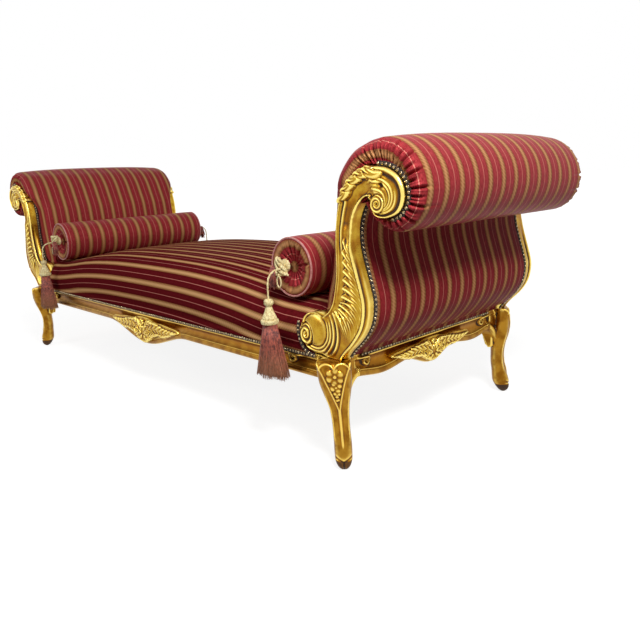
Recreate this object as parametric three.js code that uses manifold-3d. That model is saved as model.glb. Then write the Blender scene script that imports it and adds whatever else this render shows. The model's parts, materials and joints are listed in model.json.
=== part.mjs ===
// Recamier: a backless daybed with two scrolled ends, two loose bolsters and four hanging tassels.
// Millimetres, +Z up, +X along the length, the front towards -Y, origin on the floor under the middle.
import * as THREE from "three";
import { mergeVertices } from "three/addons/utils/BufferGeometryUtils.js";
import Module from "manifold-3d";

const wasm = await Module();
wasm.setup();

// Driving dimensions of the whole piece
const cornerX = 916; // from the middle to an end rail's outer face
const cornerY = 358; // from the middle to a long rail's outer face
const railTop = 268; // height of the rails' top above the floor
const rollReach = 132; // the roll's axis beyond the end rail's outer face
const rollRise = 391; // the roll's axis above the rail top
const rollRadius = 106;
const clearance = 0.3; // between pieces that touch
const softGap = 1; // between soft pieces

// Driving dimensions of the rails
const railThick = 45;
const railHeight = 58; // away from the carved drops
const beadHeight = 17; // of the rounded bead along the lower edge
const rebateHeight = 12; // of the ledge that takes the fabric's nailed edge
const rebateDepth = 6;
const hollowDepth = 14; // of the hollow moulding above the bead
const longDrop = 51; // how far a long rail dips at its middle
const longDropHalf = 260;
const endDrop = 30;
const endDropHalf = 110;
const endWave = 12; // the smaller dips on either side of the end rail's middle
const endWavePlace = 195;

// Driving dimensions of the legs
const legBlock = 64; // side of the square block that the rails are joined to
const legBlockDrop = 70; // how far the block comes down
const earLength = 80; // of the leg's shoulders along the rails
const earDrop = 118; // how far the shoulders run down the leg
const kneeHalf = 41; // half width of the knee across its diagonal
const legSwing = 17; // how far the leg bows in behind its corner
const soleHalf = 15;

// Driving dimensions of the scrolled uprights
const stileProud = 4; // the front face in front of the long rail's face
const stileThick = 44;
const stileBevel = 4;
const voluteRadius = 50;
const upperVoluteOut = 24; // the upper volute's centre beyond the roll's axis
const upperVoluteDown = 9; // and below it
const lowerVoluteIn = 75; // the lower volute's centre inside the end rail's outer face
const lowerVoluteUp = 54; // and above the rail top
const neckIn = 24; // the neck's foot, from the end rail's outer face inwards
const neckOut = 34; // and outwards

// Driving dimensions of the nailed trim
const trimThick = 3;
const trimWide = 9;

// Driving dimensions of the inner frame
const topRailRadius = 30;
const armRailDeep = 44;
const armRailHigh = 50;
const canvasThick = 2;
const braceWide = 50;
const braceHigh = 34;
const bracePlace = 300;
const cornerBlockWide = 42;
const cornerBlockHigh = 40;
const webThick = 2;
const webWide = 50;
const webLengthways = 4;
const webCrossways = 9;
const coverThick = 1.2;
const coverUp = 3; // the dust cover above the rails' lower edge
const canvasStandoff = 3.6; // from the canvas's middle to the stuffing on either side

// Driving dimensions of the upholstery
const padFoot = 78; // the inner pad's foot inside the end rail's outer face
const padBehind = 26; // the inner pad's ends behind the uprights' front faces
const padRoom = 5; // between the inner pad's foot and the seat's end
const padLift = 3; // the inner pad's foot above the rail top, over the webbing
const padEdge = 30; // length over which its ends round off
const rollBehind = 10; // the roll's ends behind the same faces
const rollEdge = 45;
const panelEdge = 12;
const panelFall = 3; // how far the outer panel's fabric lies inside the uprights' outer edges
const panelSkirtOut = 6; // its foot beyond the end rail's face
const boreGap = 1.5; // between the top rail and the stuffing round it
const seatBehind = 2; // the seat's nailed edge behind the long rail's face
const seatEndTop = 381; // height of the seat by the ends
const seatCrown = 64; // how much higher the middle is
const seatEdge = 26; // length over which the seat's ends round off

// Driving dimensions of the bolsters and tassels
const bolsterRadius = 76;
const bolsterBehind = 40; // its ends behind the uprights' front faces
const bolsterInset = 194; // its axis inside the end rail's outer face
const bolsterSink = 11; // how far the gathered ends sink to their middles
const rosetteRadius = 21;
const rosetteDeep = 30;
const cordDiameter = 5;
const cordHang = 68; // from the rosette's middle down to the tassel's top
const tasselHeadHigh = 75;
const tasselHeadRadius = 22;
const skirtHigh = 136;
const skirtHalfWide = 55;
const skirtHalfDeep = 30;

// Driving dimensions of the carved ornaments
const longCarvingHalf = 215;
const endCarvingHalf = 168;
const carvingThick = 11;
const carvingBevel = 4;
const carvingTopDown = 16; // the carving's top below the rail top
const carvingFootUp = 4; // its lowest point above the rail's lowest edge

// Counts of facets and stations
const edgeSamples = 15;
const innerEdgeSamples = 17;
const upperVoluteSamples = 12;
const lowerVoluteSamples = 9;
const legSides = 10;
const canvasSamples = 12;
const padFaceSamples = 15;
const rollSamples = 17;
const rollFaceSamples = 23;
const crownSamples = 60;
const lathePlaces = 16;
const rosetteSides = 10;
const cordSides = 8;
const tasselSides = 8;

// Materials
function finish(color, roughness, metalness) {
  return new THREE.MeshStandardMaterial({ color, roughness, metalness });
}

const gilt = finish(0xb8862b, 0.35, 0.75);
const beech = finish(0xb08a5a, 0.8, 0);
const damask = finish(0x7d2231, 0.6, 0);
const trim = finish(0x4a3a28, 0.45, 0.6);
const braid = finish(0xd3b878, 0.7, 0);
const fringe = finish(0x8e3f44, 0.8, 0);
const webbing = finish(0xa8926c, 0.9, 0);
const cambric = finish(0x1e1c1b, 0.95, 0);

const vec2 = (x, y) => new THREE.Vector2(x, y);
const vec3 = (x, y, z) => new THREE.Vector3(x, y, z);

// Six times the volume inside a closed set of triangles, positive when they face outwards
function signedVolume(points, faces) {
  let sum = 0;
  for (let i = 0; i < faces.length; i += 3) {
    const [a, b, c] = [points[faces[i]], points[faces[i + 1]], points[faces[i + 2]]];
    sum += a.dot(b.clone().cross(c));
  }
  return sum;
}

// A geometry from points and triangles, turned so that its faces point out
function bodyFrom(points, faces) {
  const outward = signedVolume(points, faces) > 0 ? faces : faces.slice().reverse();
  const geometry = new THREE.BufferGeometry().setFromPoints(points);
  geometry.setIndex(outward);
  return geometry;
}

// Triangles over one end ring of a loft, wound as the ring is
function capFaces(ring, start) {
  const normal = vec3(0, 0, 0);
  ring.forEach((point, i) => normal.add(point.clone().cross(ring[(i + 1) % ring.length])));
  normal.normalize();
  const along = ring[1].clone().sub(ring[0]).normalize();
  const across = normal.clone().cross(along);
  const flat = ring.map((point) => vec2(point.dot(along), point.dot(across)));
  return THREE.ShapeUtils.triangulateShape(flat, []).flatMap(([a, b, c]) => {
    const turn = flat[b].clone().sub(flat[a]).cross(flat[c].clone().sub(flat[a]));
    return (turn > 0 ? [a, b, c] : [a, c, b]).map((i) => start + i);
  });
}

// A closed body through rings of as many points each, capped at both ends
function loft(rings) {
  const count = rings[0].length;
  const faces = [];
  for (let k = 0; k + 1 < rings.length; k++) {
    for (let i = 0; i < count; i++) {
      const a = k * count + i;
      const b = k * count + ((i + 1) % count);
      faces.push(a, b, b + count, a, b + count, a + count);
    }
  }
  const last = (rings.length - 1) * count;
  faces.push(...capFaces(rings[0], 0).reverse(), ...capFaces(rings[rings.length - 1], last));
  return bodyFrom(rings.flat(), faces);
}

// An outline in the XZ plane carried along Y, one ring for each [y, inset]
function prism(outline, stations) {
  return loft(
    stations.map(([y, inset]) => {
      const ring = inset ? offset(outline, -inset) : outline;
      return ring.map((point) => vec3(point.x, y, point.y));
    }),
  );
}

function box(x0, x1, y0, y1, z0, z1) {
  const geometry = new THREE.BoxGeometry(x1 - x0, y1 - y0, z1 - z0);
  return geometry.translate((x0 + x1) / 2, (y0 + y1) / 2, (z0 + z1) / 2);
}

function mirrorY(geometry) {
  const copy = geometry.clone().scale(1, -1, 1);
  copy.setIndex([...copy.index.array].reverse());
  return copy;
}

// Points evenly spaced along the smooth curve through some points
function smooth(points, count) {
  return new THREE.SplineCurve(points).getSpacedPoints(count - 1);
}

function arc(centre, radius, from, to, count) {
  return Array.from({ length: count }, (_, i) => {
    const angle = from + ((to - from) * i) / (count - 1);
    return vec2(centre.x + radius * Math.cos(angle), centre.y + radius * Math.sin(angle));
  });
}

// Each point moved outwards from a counter-clockwise outline, corners included
function offset(outline, distance) {
  return outline.map((point, i) => {
    const before = outline[(i + outline.length - 1) % outline.length];
    const after = outline[(i + 1) % outline.length];
    const run = after.clone().sub(before).normalize();
    return vec2(point.x + run.y * distance, point.y - run.x * distance);
  });
}

function distanceTo(outline, point) {
  const nearest = vec3(0, 0, 0);
  const probe = vec3(point.x, point.y, 0);
  return Math.min(
    ...outline.map((a, i) => {
      const b = outline[(i + 1) % outline.length];
      new THREE.Line3(vec3(a.x, a.y, 0), vec3(b.x, b.y, 0)).closestPointToPoint(probe, true, nearest);
      return nearest.distanceTo(probe);
    }),
  );
}

// An outline grown by a distance, without the points that fall back in its hollows
function grown(outline, distance, part = outline) {
  const keepShare = 0.97;
  const moved = offset(outline, distance).filter((_, i) => part.includes(outline[i]));
  return moved.filter((point) => distanceTo(outline, point) > distance * keepShare);
}

function toSolid(geometry) {
  const plain = new THREE.BufferGeometry();
  plain.setAttribute("position", geometry.getAttribute("position"));
  if (geometry.index) plain.setIndex(geometry.index);
  const merged = mergeVertices(plain);
  const triVerts = new Uint32Array(merged.index.array);
  const vertProperties = merged.attributes.position.array;
  return new wasm.Manifold(new wasm.Mesh({ numProp: 3, vertProperties, triVerts }));
}

function toGeometry(solid) {
  const mesh = solid.getMesh();
  const geometry = new THREE.BufferGeometry();
  geometry.setAttribute("position", new THREE.BufferAttribute(mesh.vertProperties, mesh.numProp));
  geometry.setIndex(new THREE.BufferAttribute(mesh.triVerts, 1));
  return geometry;
}

const joined = (...pieces) => toGeometry(pieces.map(toSolid).reduce((sum, next) => sum.add(next)));

function cut(piece, ...tools) {
  return toGeometry(tools.map(toSolid).reduce((left, tool) => left.subtract(tool), toSolid(piece)));
}

// The direction of a line of points at one of them
function runAt(line, i) {
  const before = line[Math.max(i - 1, 0)];
  const after = line[Math.min(i + 1, line.length - 1)];
  return after.clone().sub(before).normalize();
}

function named(name, geometry, material) {
  const mesh = new THREE.Mesh(geometry, material);
  mesh.name = name;
  return mesh;
}

// The end's own frame: shares of the roll's reach and rise, from the end rail's corner at the rail top
const atEnd = ([across, up]) => vec2(cornerX + across * rollReach, railTop + up * rollRise);
const rollAxis = atEnd([1, 1]);
const aroundRoll = ([across, up]) => vec2(rollAxis.x + across * rollRadius, rollAxis.y + up * rollRadius);
const stileFront = cornerY + stileProud;
const stileBack = stileFront - stileThick;
const betweenStiles = stileBack - clearance;

// Scrolled uprights
const upperVolute = vec2(rollAxis.x + upperVoluteOut, rollAxis.y - upperVoluteDown);
const lowerVolute = vec2(cornerX - lowerVoluteIn, railTop + lowerVoluteUp);
const throatAngle = 1.19 * Math.PI; // where the outer edge meets the upper volute
const crestAngle = 2.5 * Math.PI; // where the upper volute runs into the inner edge
const valleyAngle = 0.32 * Math.PI; // where the inner edge meets the lower volute
const snailAngle = 1.6 * Math.PI; // where the lower volute comes down to the neck
const outerEdgeShares = [
  [0.318, 0.043],
  [0.47, 0.113],
  [0.659, 0.202],
  [0.773, 0.281],
  [0.803, 0.343],
  [0.788, 0.407],
  [0.705, 0.509],
  [0.606, 0.611],
  [0.561, 0.708],
  [0.598, 0.793],
  [0.682, 0.854],
];
const innerEdgeShares = [
  [0.803, 1.105],
  [0.636, 1.087],
  [0.47, 1.056],
  [0.318, 1.013],
  [0.212, 0.957],
  [0.121, 0.87],
  [0.076, 0.772],
  [0.061, 0.637],
  [0.076, 0.504],
  [0.015, 0.414],
  [-0.076, 0.338],
  [-0.197, 0.286],
];

function stileOutline() {
  const foot = railTop + clearance;
  const upper = arc(upperVolute, voluteRadius, throatAngle, crestAngle, upperVoluteSamples);
  const lower = arc(lowerVolute, voluteRadius, valleyAngle, snailAngle, lowerVoluteSamples);
  const neckRight = vec2(cornerX + neckOut, foot);
  const outer = smooth([neckRight, ...outerEdgeShares.map(atEnd), upper[0]], edgeSamples);
  const inner = smooth([upper[upper.length - 1], ...innerEdgeShares.map(atEnd), lower[0]], innerEdgeSamples);
  const nailed = [...outer.slice(0, -1), ...upper.slice(0, -1), ...inner.slice(0, -1)];
  return { outline: [...nailed, ...lower, vec2(cornerX - neckIn, foot)], nailed };
}

const stile = stileOutline();
const trimRoom = trimThick + softGap;

const stileForm = prism(stile.outline, [
  [-stileFront, stileBevel],
  [-stileFront + stileBevel, 0],
  [-stileBack, 0],
]);

// The space that an upright and its nailed trim take out of the upholstery
const cutterReach = 2 * stileThick;
const stileRoom = prism(grown(stile.outline, trimRoom), [
  [-stileFront - cutterReach, 0],
  [-betweenStiles, 0],
]);

// The nailed trim: a strip round the upright's edges, from its neck over the upper volute and down inside
function stileTrim() {
  const middle = grown(stile.outline, clearance + trimThick / 2, stile.nailed.slice(1));
  const back = -stileBack;
  return loft(
    middle.map((point, i) => {
      const run = runAt(middle, i);
      const out = vec2(run.y, -run.x).multiplyScalar(trimThick / 2);
      return [
        vec3(point.x - out.x, back, point.y - out.y),
        vec3(point.x + out.x, back, point.y + out.y),
        vec3(point.x + out.x, back - trimWide, point.y + out.y),
        vec3(point.x - out.x, back - trimWide, point.y - out.y),
      ];
    }),
  );
}

// Rails: the moulding's section as [depth behind the face, height], for a rail this high
function railSection(height) {
  const middle = beadHeight + (height - beadHeight - rebateHeight) / 2;
  return [
    [beadHeight / 2, 0],
    [0, beadHeight / 2],
    [beadHeight / 3, beadHeight],
    [hollowDepth, middle],
    [rebateDepth / 2, height - rebateHeight],
    [rebateDepth, height - rebateHeight],
    [rebateDepth, height],
    [railThick, height],
    [railThick, 0],
  ];
}

// How deep a hump of this half width is at a distance from its middle
function hump(distance, half) {
  return Math.abs(distance) < half ? (1 + Math.cos((Math.PI * distance) / half)) / 2 : 0;
}

const longRailDrop = (place) => longDrop * hump(place, longDropHalf);
const endRailDrop = (place) =>
  endDrop * hump(place, endDropHalf) + endWave * hump(Math.abs(place) - endWavePlace, endDropHalf);

// A rail along X whose face looks to -Y, its lower edge dipping by drop(place)
function railForm(half, face, drop, stationShares) {
  const right = stationShares.map((share) => share * half);
  const left = right.map((place) => -place).reverse();
  return loft(
    [...left, 0, ...right].map((place) => {
      const height = railHeight + drop(place);
      return railSection(height).map(([depth, up]) => vec3(place, -face + depth, railTop - height + up));
    }),
  );
}

const longRailStationShares = [0.06, 0.12, 0.18, 0.245, 0.32, 1];
const endRailStationShares = [0.13, 0.26, 0.4, 0.55, 0.7, 0.85, 1];

// A low carved relief: a shell in the middle with a spray of leaves to either side
const carvingShares = [
  [0, 0],
  [0.13, 0.08],
  [0.27, 0.34],
  [0.42, 0.46],
  [0.68, 0.5],
  [1, 0.66],
  [0.72, 0.84],
  [0.4, 0.86],
  [0.2, 0.98],
];

function carvingForm(half, face, drop) {
  const low = railTop - railHeight - drop(0) + carvingFootUp;
  const high = railTop - carvingTopDown;
  const place = ([across, up]) => vec2(across * half, low + up * (high - low));
  const right = carvingShares.map(place);
  const left = carvingShares.slice(1).map(([across, up]) => place([-across, up]));
  return prism(
    [...right, ...left.reverse()],
    [
      [-face - clearance - carvingThick, carvingBevel],
      [-face - clearance - carvingThick / 2, 0],
      [-face - clearance, 0],
    ],
  );
}

// Legs: [height share, centre's distance from the corner, half depth, half width] along the diagonal,
// the height as a share of the rail top and the rest as shares of the knee's half width
const soleShare = 0.37;
const bowShare = 0.415;
const legStationShares = [
  [0, -0.1, 0.34, soleShare],
  [0.037, -0.03, 0.46, 0.46],
  [0.104, -0.1, 0.55, 0.51],
  [0.187, -0.17, 0.65, 0.5],
  [0.27, -0.29, 0.54, 0.46],
  [0.355, -bowShare, 0.46, 0.46],
  [0.466, -bowShare, 0.44, 0.51],
  [0.58, -0.34, 0.5, 0.61],
  [0.69, -0.22, 0.585, 0.78],
  [0.8, -0.12, 0.585, 0.93],
  [1, -0.13, 0.52, 1],
];

function legRing([high, centre, deep, wide]) {
  const middle = (centre * legSwing) / bowShare;
  const sole = high === 0 ? soleHalf / (soleShare * kneeHalf) : 1;
  return Array.from({ length: legSides }, (_, i) => {
    const angle = (2 * Math.PI * i) / legSides;
    const out = (middle + deep * sole * kneeHalf * Math.cos(angle)) / Math.SQRT2;
    const side = (wide * sole * kneeHalf * Math.sin(angle)) / Math.SQRT2;
    return vec3(cornerX + out + side, -cornerY - out + side, high * railTop);
  });
}

// The leg's shoulder along a long rail, as shares of its length and drop from the rail top
const earShares = [
  [0.14, 0],
  [0.14, 1],
  [0.4, 1],
  [0.54, 0.76],
  [0.65, 0.61],
  [0.825, 0.5],
  [1, 0.49],
  [1, 0],
];

function legForm() {
  const along = earShares.map(([back, down]) => [cornerX - back * earLength, railTop - down * earDrop]);
  const outline = along.map(([x, z]) => vec2(x, z)).reverse();
  const deep = railThick - rebateDepth;
  const ear = prism(outline, [
    [-cornerY + rebateDepth / 3, 0],
    [-cornerY + deep, 0],
  ]);
  const other = loft(
    [cornerX - rebateDepth / 3, cornerX - deep].map((x) =>
      outline.map((point) => vec3(x, -(point.x - cornerX + cornerY), point.y)),
    ),
  );
  const inset = rebateDepth;
  const block = box(
    cornerX - legBlock,
    cornerX - inset,
    -cornerY + inset,
    -cornerY + legBlock,
    railTop - legBlockDrop,
    railTop,
  );
  return joined(loft(legStationShares.map(legRing)), block, ear, other);
}

// Padded forms that run from front to back: a face curve over a backing curve, rounded off at both ends.
// The fill at the ends and the middle's extra fullness are shares of the thickness, the stations of the half
function paddedForm(backing, face, half, edge, { atEnds, fuller, stations }) {
  const places = [...stations.map((share) => -share), 0, ...stations.slice().reverse()];
  return loft(
    places.map((share) => {
      const y = share * half;
      const near = Math.min((half - Math.abs(y)) / edge, 1);
      const round = Math.sqrt(1 - (1 - near) ** 2);
      const fill = atEnds + (1 - atEnds) * round + fuller * (1 - share ** 2);
      const over = face.map((point, i) => backing[i].clone().lerp(point, fill));
      return [...over, ...backing.slice().reverse()].map((point) => vec3(point.x, y, point.y));
    }),
  );
}

// The stretched canvas inside an end, from the arm rail to the top rail, and its last place
// beside the top rail as shares of that rail's radius
const canvasShares = [
  [0.24, 0.275],
  [0.3, 0.415],
  [0.295, 0.6],
  [0.29, 0.72],
  [0.38, 0.85],
];
const canvasLeadShares = [1.13, 0.4];
const armRailTop = railTop + clearance + armRailHigh;

function canvasLine() {
  const foot = vec2(cornerX - armRailDeep / 3, armRailTop + clearance + canvasThick);
  const [beside, below] = canvasLeadShares;
  const lead = vec2(rollAxis.x - beside * topRailRadius, rollAxis.y - below * topRailRadius);
  return smooth([foot, ...canvasShares.map(atEnd), lead], canvasSamples);
}

function canvasForm() {
  const line = canvasLine();
  const half = canvasThick / 2;
  const side = (sign) =>
    line.map((point, i) => {
      const run = runAt(line, i);
      return vec2(point.x + sign * run.y * half, point.y - sign * run.x * half);
    });
  const outline = [...side(1), ...side(-1).reverse()];
  return prism(outline, [
    [-betweenStiles, 0],
    [betweenStiles, 0],
  ]);
}

const shifted = (line, across) => line.map((point) => vec2(point.x + across, point.y));

// Where the roll's stuffing opens for the inner pad and for the outer panel, as shares of its radius
const rollInnerShares = [-1.514, -0.345];
const rollOverShares = [
  [-1.453, -0.085],
  [-1.368, 0.198],
  [-1.198, 0.434],
  [-1.038, 0.575],
  [-0.83, 0.726],
  [-0.547, 0.858],
  [-0.264, 0.962],
];
const rollOuterAngle = -0.665 * Math.PI;
const boreRadius = topRailRadius + boreGap;
const rollHalf = stileFront - rollBehind;
const rollFillShares = { atEnds: 0.5, fuller: 0.03, stations: [1, 0.985, 0.955, 0.91, 0.87, 0.45] };

function rollForm() {
  const start = aroundRoll(rollInnerShares);
  const round = arc(rollAxis, rollRadius, Math.PI / 2, rollOuterAngle, rollSamples);
  const face = smooth([start, ...rollOverShares.map(aroundRoll), ...round], rollFaceSamples);
  const startAngle = Math.atan2(start.y - rollAxis.y, start.x - rollAxis.x) + 2 * Math.PI;
  const backing = arc(rollAxis, boreRadius, startAngle, rollOuterAngle, face.length);
  const form = paddedForm(backing, face, rollHalf, rollEdge, rollFillShares);
  return cut(form, stileRoom, mirrorY(stileRoom));
}

const innerFaceShares = [
  [-0.598, 0.159],
  [-0.591, 0.286],
  [-0.508, 0.389],
  [-0.424, 0.491],
  [-0.371, 0.606],
  [-0.318, 0.749],
  [-0.242, 0.86],
];
const padBase = railTop + padLift;
const padHalf = stileFront - padBehind;
const padFillShares = { atEnds: 0.6, fuller: 0.05, stations: [1, 0.98, 0.95, 0.91, 0.5] };

function innerPadForm() {
  const top = aroundRoll(rollInnerShares).sub(vec2(0, softGap));
  const footFace = vec2(cornerX - padFoot, padBase);
  const face = smooth([footFace, ...innerFaceShares.map(atEnd), top], padFaceSamples);
  const railInside = cornerX - armRailDeep - softGap;
  const canvas = shifted(canvasLine(), -canvasStandoff);
  const over = vec2(railInside, armRailTop + canvasThick);
  const backing = [vec2(railInside, padBase), vec2(railInside, (padBase + armRailTop) / 2), over, ...canvas];
  const form = paddedForm(backing, face, padHalf, padEdge, padFillShares);
  return cut(form, stileRoom, mirrorY(stileRoom));
}

// The outer panel's fabric lies just inside the uprights' outer edges and is a little full between them
const panelFillShares = { atEnds: 0.85, fuller: 0.12, stations: [1, 0.985, 0.96, 0.5] };

function outerPanelForm() {
  const base = railTop + softGap;
  const footFace = vec2(cornerX + panelSkirtOut, base);
  const edge = outerEdgeShares.slice(0, -1).map(atEnd);
  const outerStart = vec2(rollRadius * Math.cos(rollOuterAngle), rollRadius * Math.sin(rollOuterAngle));
  const top = rollAxis.clone().add(outerStart).sub(vec2(softGap, softGap));
  const face = smooth([footFace, ...shifted(edge.slice(0, -1), -panelFall), top], padFaceSamples);
  const railOutside = cornerX + softGap;
  const canvas = shifted(canvasLine(), canvasStandoff);
  const over = vec2(railOutside, armRailTop + canvasThick);
  const backing = [vec2(railOutside, base), vec2(railOutside, (base + armRailTop) / 2), over, ...canvas];
  return paddedForm(backing, face, betweenStiles, panelEdge, panelFillShares);
}

// Seat: the height of its middle line along the length, as shares of the half length and of the crown
const seatHalf = cornerX - padFoot - padRoom;
const seatFront = cornerY - seatBehind;
const seatCrownShares = [
  [0, 1],
  [0.2, 0.97],
  [0.4, 0.86],
  [0.6, 0.6],
  [0.75, 0.3],
  [0.86, 0.12],
  [1, 0.05],
];
const seatCurve = new THREE.SplineCurve(seatCrownShares.map(([along, up]) => vec2(along, up)));
const seatLine = seatCurve.getPoints(crownSamples);

function seatTop(x) {
  const share = Math.abs(x) / seatHalf;
  const next = Math.max(seatLine.findIndex((point) => point.x >= share), 1);
  const [a, b] = [seatLine[next - 1], seatLine[next]];
  return seatEndTop + seatCrown * (a.y + ((b.y - a.y) * (share - a.x)) / (b.x - a.x));
}

const seatSectionShares = [
  [0.985, 0],
  [1, 0.12],
  [1.015, 0.32],
  [1, 0.52],
  [0.965, 0.69],
  [0.9, 0.83],
  [0.77, 0.925],
  [0.5, 0.985],
  [0, 1],
];
const seatStationShares = [0.14, 0.3, 0.45, 0.6, 0.73, 0.84, 0.92, 0.97, 1];
const seatDrawShare = 0.04; // how much the seat shrinks towards its very ends
const seatBase = railTop + webThick + softGap;

function seatForm() {
  const places = [...seatStationShares.map((share) => -share).reverse(), 0, ...seatStationShares];
  const form = loft(
    places.map((share) => {
      const x = share * seatHalf;
      const near = Math.min((seatHalf - Math.abs(x)) / seatEdge, 1);
      const draw = 1 - seatDrawShare * (1 - Math.sqrt(1 - (1 - near) ** 2));
      const high = (seatTop(x) - seatBase) * draw;
      const point = ([across, up]) => vec3(x, across * seatFront * draw, seatBase + up * high);
      const rear = seatSectionShares.map(point);
      const front = seatSectionShares.slice(0, -1).map(([across, up]) => point([-across, up]));
      return [...rear, ...front.reverse()];
    }),
  );
  const turned = stileRoom.clone().rotateZ(Math.PI);
  return cut(form, stileRoom, mirrorY(stileRoom), turned, mirrorY(turned));
}

// Bolsters lie along Y: [place along the half length from the end inwards, radius] as shares
const bolsterShares = [
  [0.955, 0.24],
  [0.975, 0.55],
  [0.992, 0.84],
  [1, 0.95],
  [0.992, 1],
  [0.97, 0.97],
  [0.9, 0.985],
];
const bolsterHalf = stileFront - bolsterBehind;
const bolsterX = cornerX - bolsterInset;
const bolsterZ = seatTop(bolsterX) + bolsterRadius + softGap;

function bolsterForm() {
  const sunk = bolsterHalf - bolsterSink;
  const rear = bolsterShares.map(([along, radius]) => vec2(radius * bolsterRadius, along * bolsterHalf));
  const front = rear.map((point) => vec2(point.x, -point.y));
  const middle = vec2(bolsterRadius, 0);
  const profile = [vec2(0, -sunk), ...front, middle, ...rear.reverse(), vec2(0, sunk)];
  return new THREE.LatheGeometry(profile, lathePlaces).translate(bolsterX, 0, bolsterZ);
}

const rosetteShares = [
  [0, 0],
  [0.62, 0],
  [1, 0.3],
  [0.9, 0.62],
  [0.5, 0.9],
  [0, 1],
];
const rosetteBack = bolsterHalf + clearance;

function rosetteForm() {
  const profile = rosetteShares.map(([radius, high]) => vec2(radius * rosetteRadius, high * rosetteDeep));
  const form = new THREE.LatheGeometry(profile, rosetteSides);
  return form.rotateX(Math.PI).translate(bolsterX, -rosetteBack, bolsterZ);
}

// The cord leaves the rosette's front, bends down, hangs and runs on inside the tassel to its knot:
// [forward, down] from the middle of the rosette's front
const cordRoute = [
  [0, 0],
  [8, 0],
  [16, 1],
  [25, 4],
  [33, 9.5],
  [39, 18],
  [42, 29],
  [43, 43],
  [43, 55],
  [43, 68],
  [43, 80],
  [43, 92],
  [43, 104],
  [43, 116],
  [43, 128],
  [43, 140],
  [43, 152],
  [43, 164],
  [43, 176],
  [43, 188],
  [43, 198],
  [43, 208],
];
const cordStart = -rosetteBack - rosetteDeep - clearance;
const [cordForward, cordDown] = cordRoute[cordRoute.length - 1];
const tasselY = cordStart - cordForward;
const tasselTop = bolsterZ - cordHang;
const cordEnd = bolsterZ - cordDown;

function cordForm() {
  const route = cordRoute.map(([forward, down]) => vec3(bolsterX, cordStart - forward, bolsterZ - down));
  return loft(
    route.map((point, i) => {
      const run = runAt(route, i);
      const side = vec3(1, 0, 0);
      const up = side.clone().cross(run);
      return Array.from({ length: cordSides }, (_, k) => {
        const angle = (2 * Math.PI * k) / cordSides;
        const reach = side.clone().multiplyScalar(Math.cos(angle)).addScaledVector(up, Math.sin(angle));
        return point.clone().addScaledVector(reach, cordDiameter / 2);
      });
    }),
  );
}

// Tassels: the moulded head's [radius, depth below the top] as shares of its radius and height,
// and the skirt's [width, depth below the head] as shares of its own size
const headShares = [
  [0.3, 0],
  [0.52, 0.07],
  [0.54, 0.19],
  [0.33, 0.3],
  [0.42, 0.42],
  [0.7, 0.66],
  [1, 0.86],
  [1, 1],
];
const skirtShares = [
  [0.46, 0.02],
  [0.66, 0.28],
  [0.85, 0.6],
  [1, 0.94],
  [0.95, 1],
];

function tasselForm() {
  const bore = cordDiameter / 2 + clearance;
  const boreEnd = cordEnd - clearance;
  const ring = (wide, deep, z) =>
    Array.from({ length: tasselSides }, (_, i) => {
      const angle = (2 * Math.PI * (i + 1 / 2)) / tasselSides;
      return vec3(bolsterX + wide * Math.cos(angle), tasselY + deep * Math.sin(angle), z);
    });
  const round = 1 / Math.cos(Math.PI / tasselSides);
  const head = headShares.map(([wide, down]) => {
    const radius = wide * tasselHeadRadius;
    return ring(radius, radius, tasselTop - down * tasselHeadHigh);
  });
  const skirtTop = tasselTop - tasselHeadHigh;
  const skirt = skirtShares.map(([share, down]) => {
    const deep = Math.max(share * skirtHalfDeep, tasselHeadRadius / 2);
    return ring(share * skirtHalfWide, deep, skirtTop - down * skirtHigh);
  });
  const boreRing = (z) => ring(bore * round, bore * round, z);
  return loft([boreRing(boreEnd), boreRing(tasselTop), ...head, ...skirt]);
}

// The inner frame
function cornerBlockForm() {
  const rail = -cornerY + railThick + clearance;
  const end = cornerX - railThick - clearance;
  const touch = 2 * (legBlock - railThick) + clearance;
  const far = touch + cornerBlockWide;
  const points = [
    [end - touch, rail],
    [end, rail + touch],
    [end, rail + far],
    [end - far, rail],
  ];
  const top = railTop - clearance;
  return loft([top - cornerBlockHigh, top].map((z) => points.map(([x, y]) => vec3(x, y, z))));
}

function braceForm(place) {
  const half = cornerY - railThick - clearance;
  const top = railTop - clearance;
  return box(place - braceWide / 2, place + braceWide / 2, -half, half, top - braceHigh, top);
}

// Webbing: crossed straps tacked over the rails, with the open squares between them
function webbingForm() {
  const halfX = cornerX - earLength - clearance;
  const halfY = cornerY - railThick / 2;
  const low = railTop + clearance;
  const high = low + webThick;
  const gapX = (2 * halfX - webCrossways * webWide) / (webCrossways - 1);
  const gapY = (2 * halfY - webLengthways * webWide) / (webLengthways - 1);
  const gaps = [];
  for (let i = 0; i + 1 < webCrossways; i++) {
    for (let j = 0; j + 1 < webLengthways; j++) {
      const x = -halfX + webWide + i * (gapX + webWide);
      const y = -halfY + webWide + j * (gapY + webWide);
      gaps.push(box(x, x + gapX, y, y + gapY, low - webThick, high + webThick));
    }
  }
  return cut(box(-halfX, halfX, -halfY, halfY, low, high), ...gaps);
}

function dustCoverForm() {
  const halfX = cornerX - railThick - clearance;
  const halfY = cornerY - railThick - clearance;
  const notch = legBlock - railThick + clearance;
  const right = [
    vec2(halfX - notch, -halfY),
    vec2(halfX - notch, -halfY + notch),
    vec2(halfX, -halfY + notch),
    vec2(halfX, halfY - notch),
    vec2(halfX - notch, halfY - notch),
    vec2(halfX - notch, halfY),
  ];
  const left = right.map((point) => vec2(-point.x, -point.y));
  const outline = new THREE.Shape([...right, ...left]);
  const form = new THREE.ExtrudeGeometry(outline, { depth: coverThick, bevelEnabled: false });
  return form.translate(0, 0, railTop - railHeight + coverUp);
}

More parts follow.
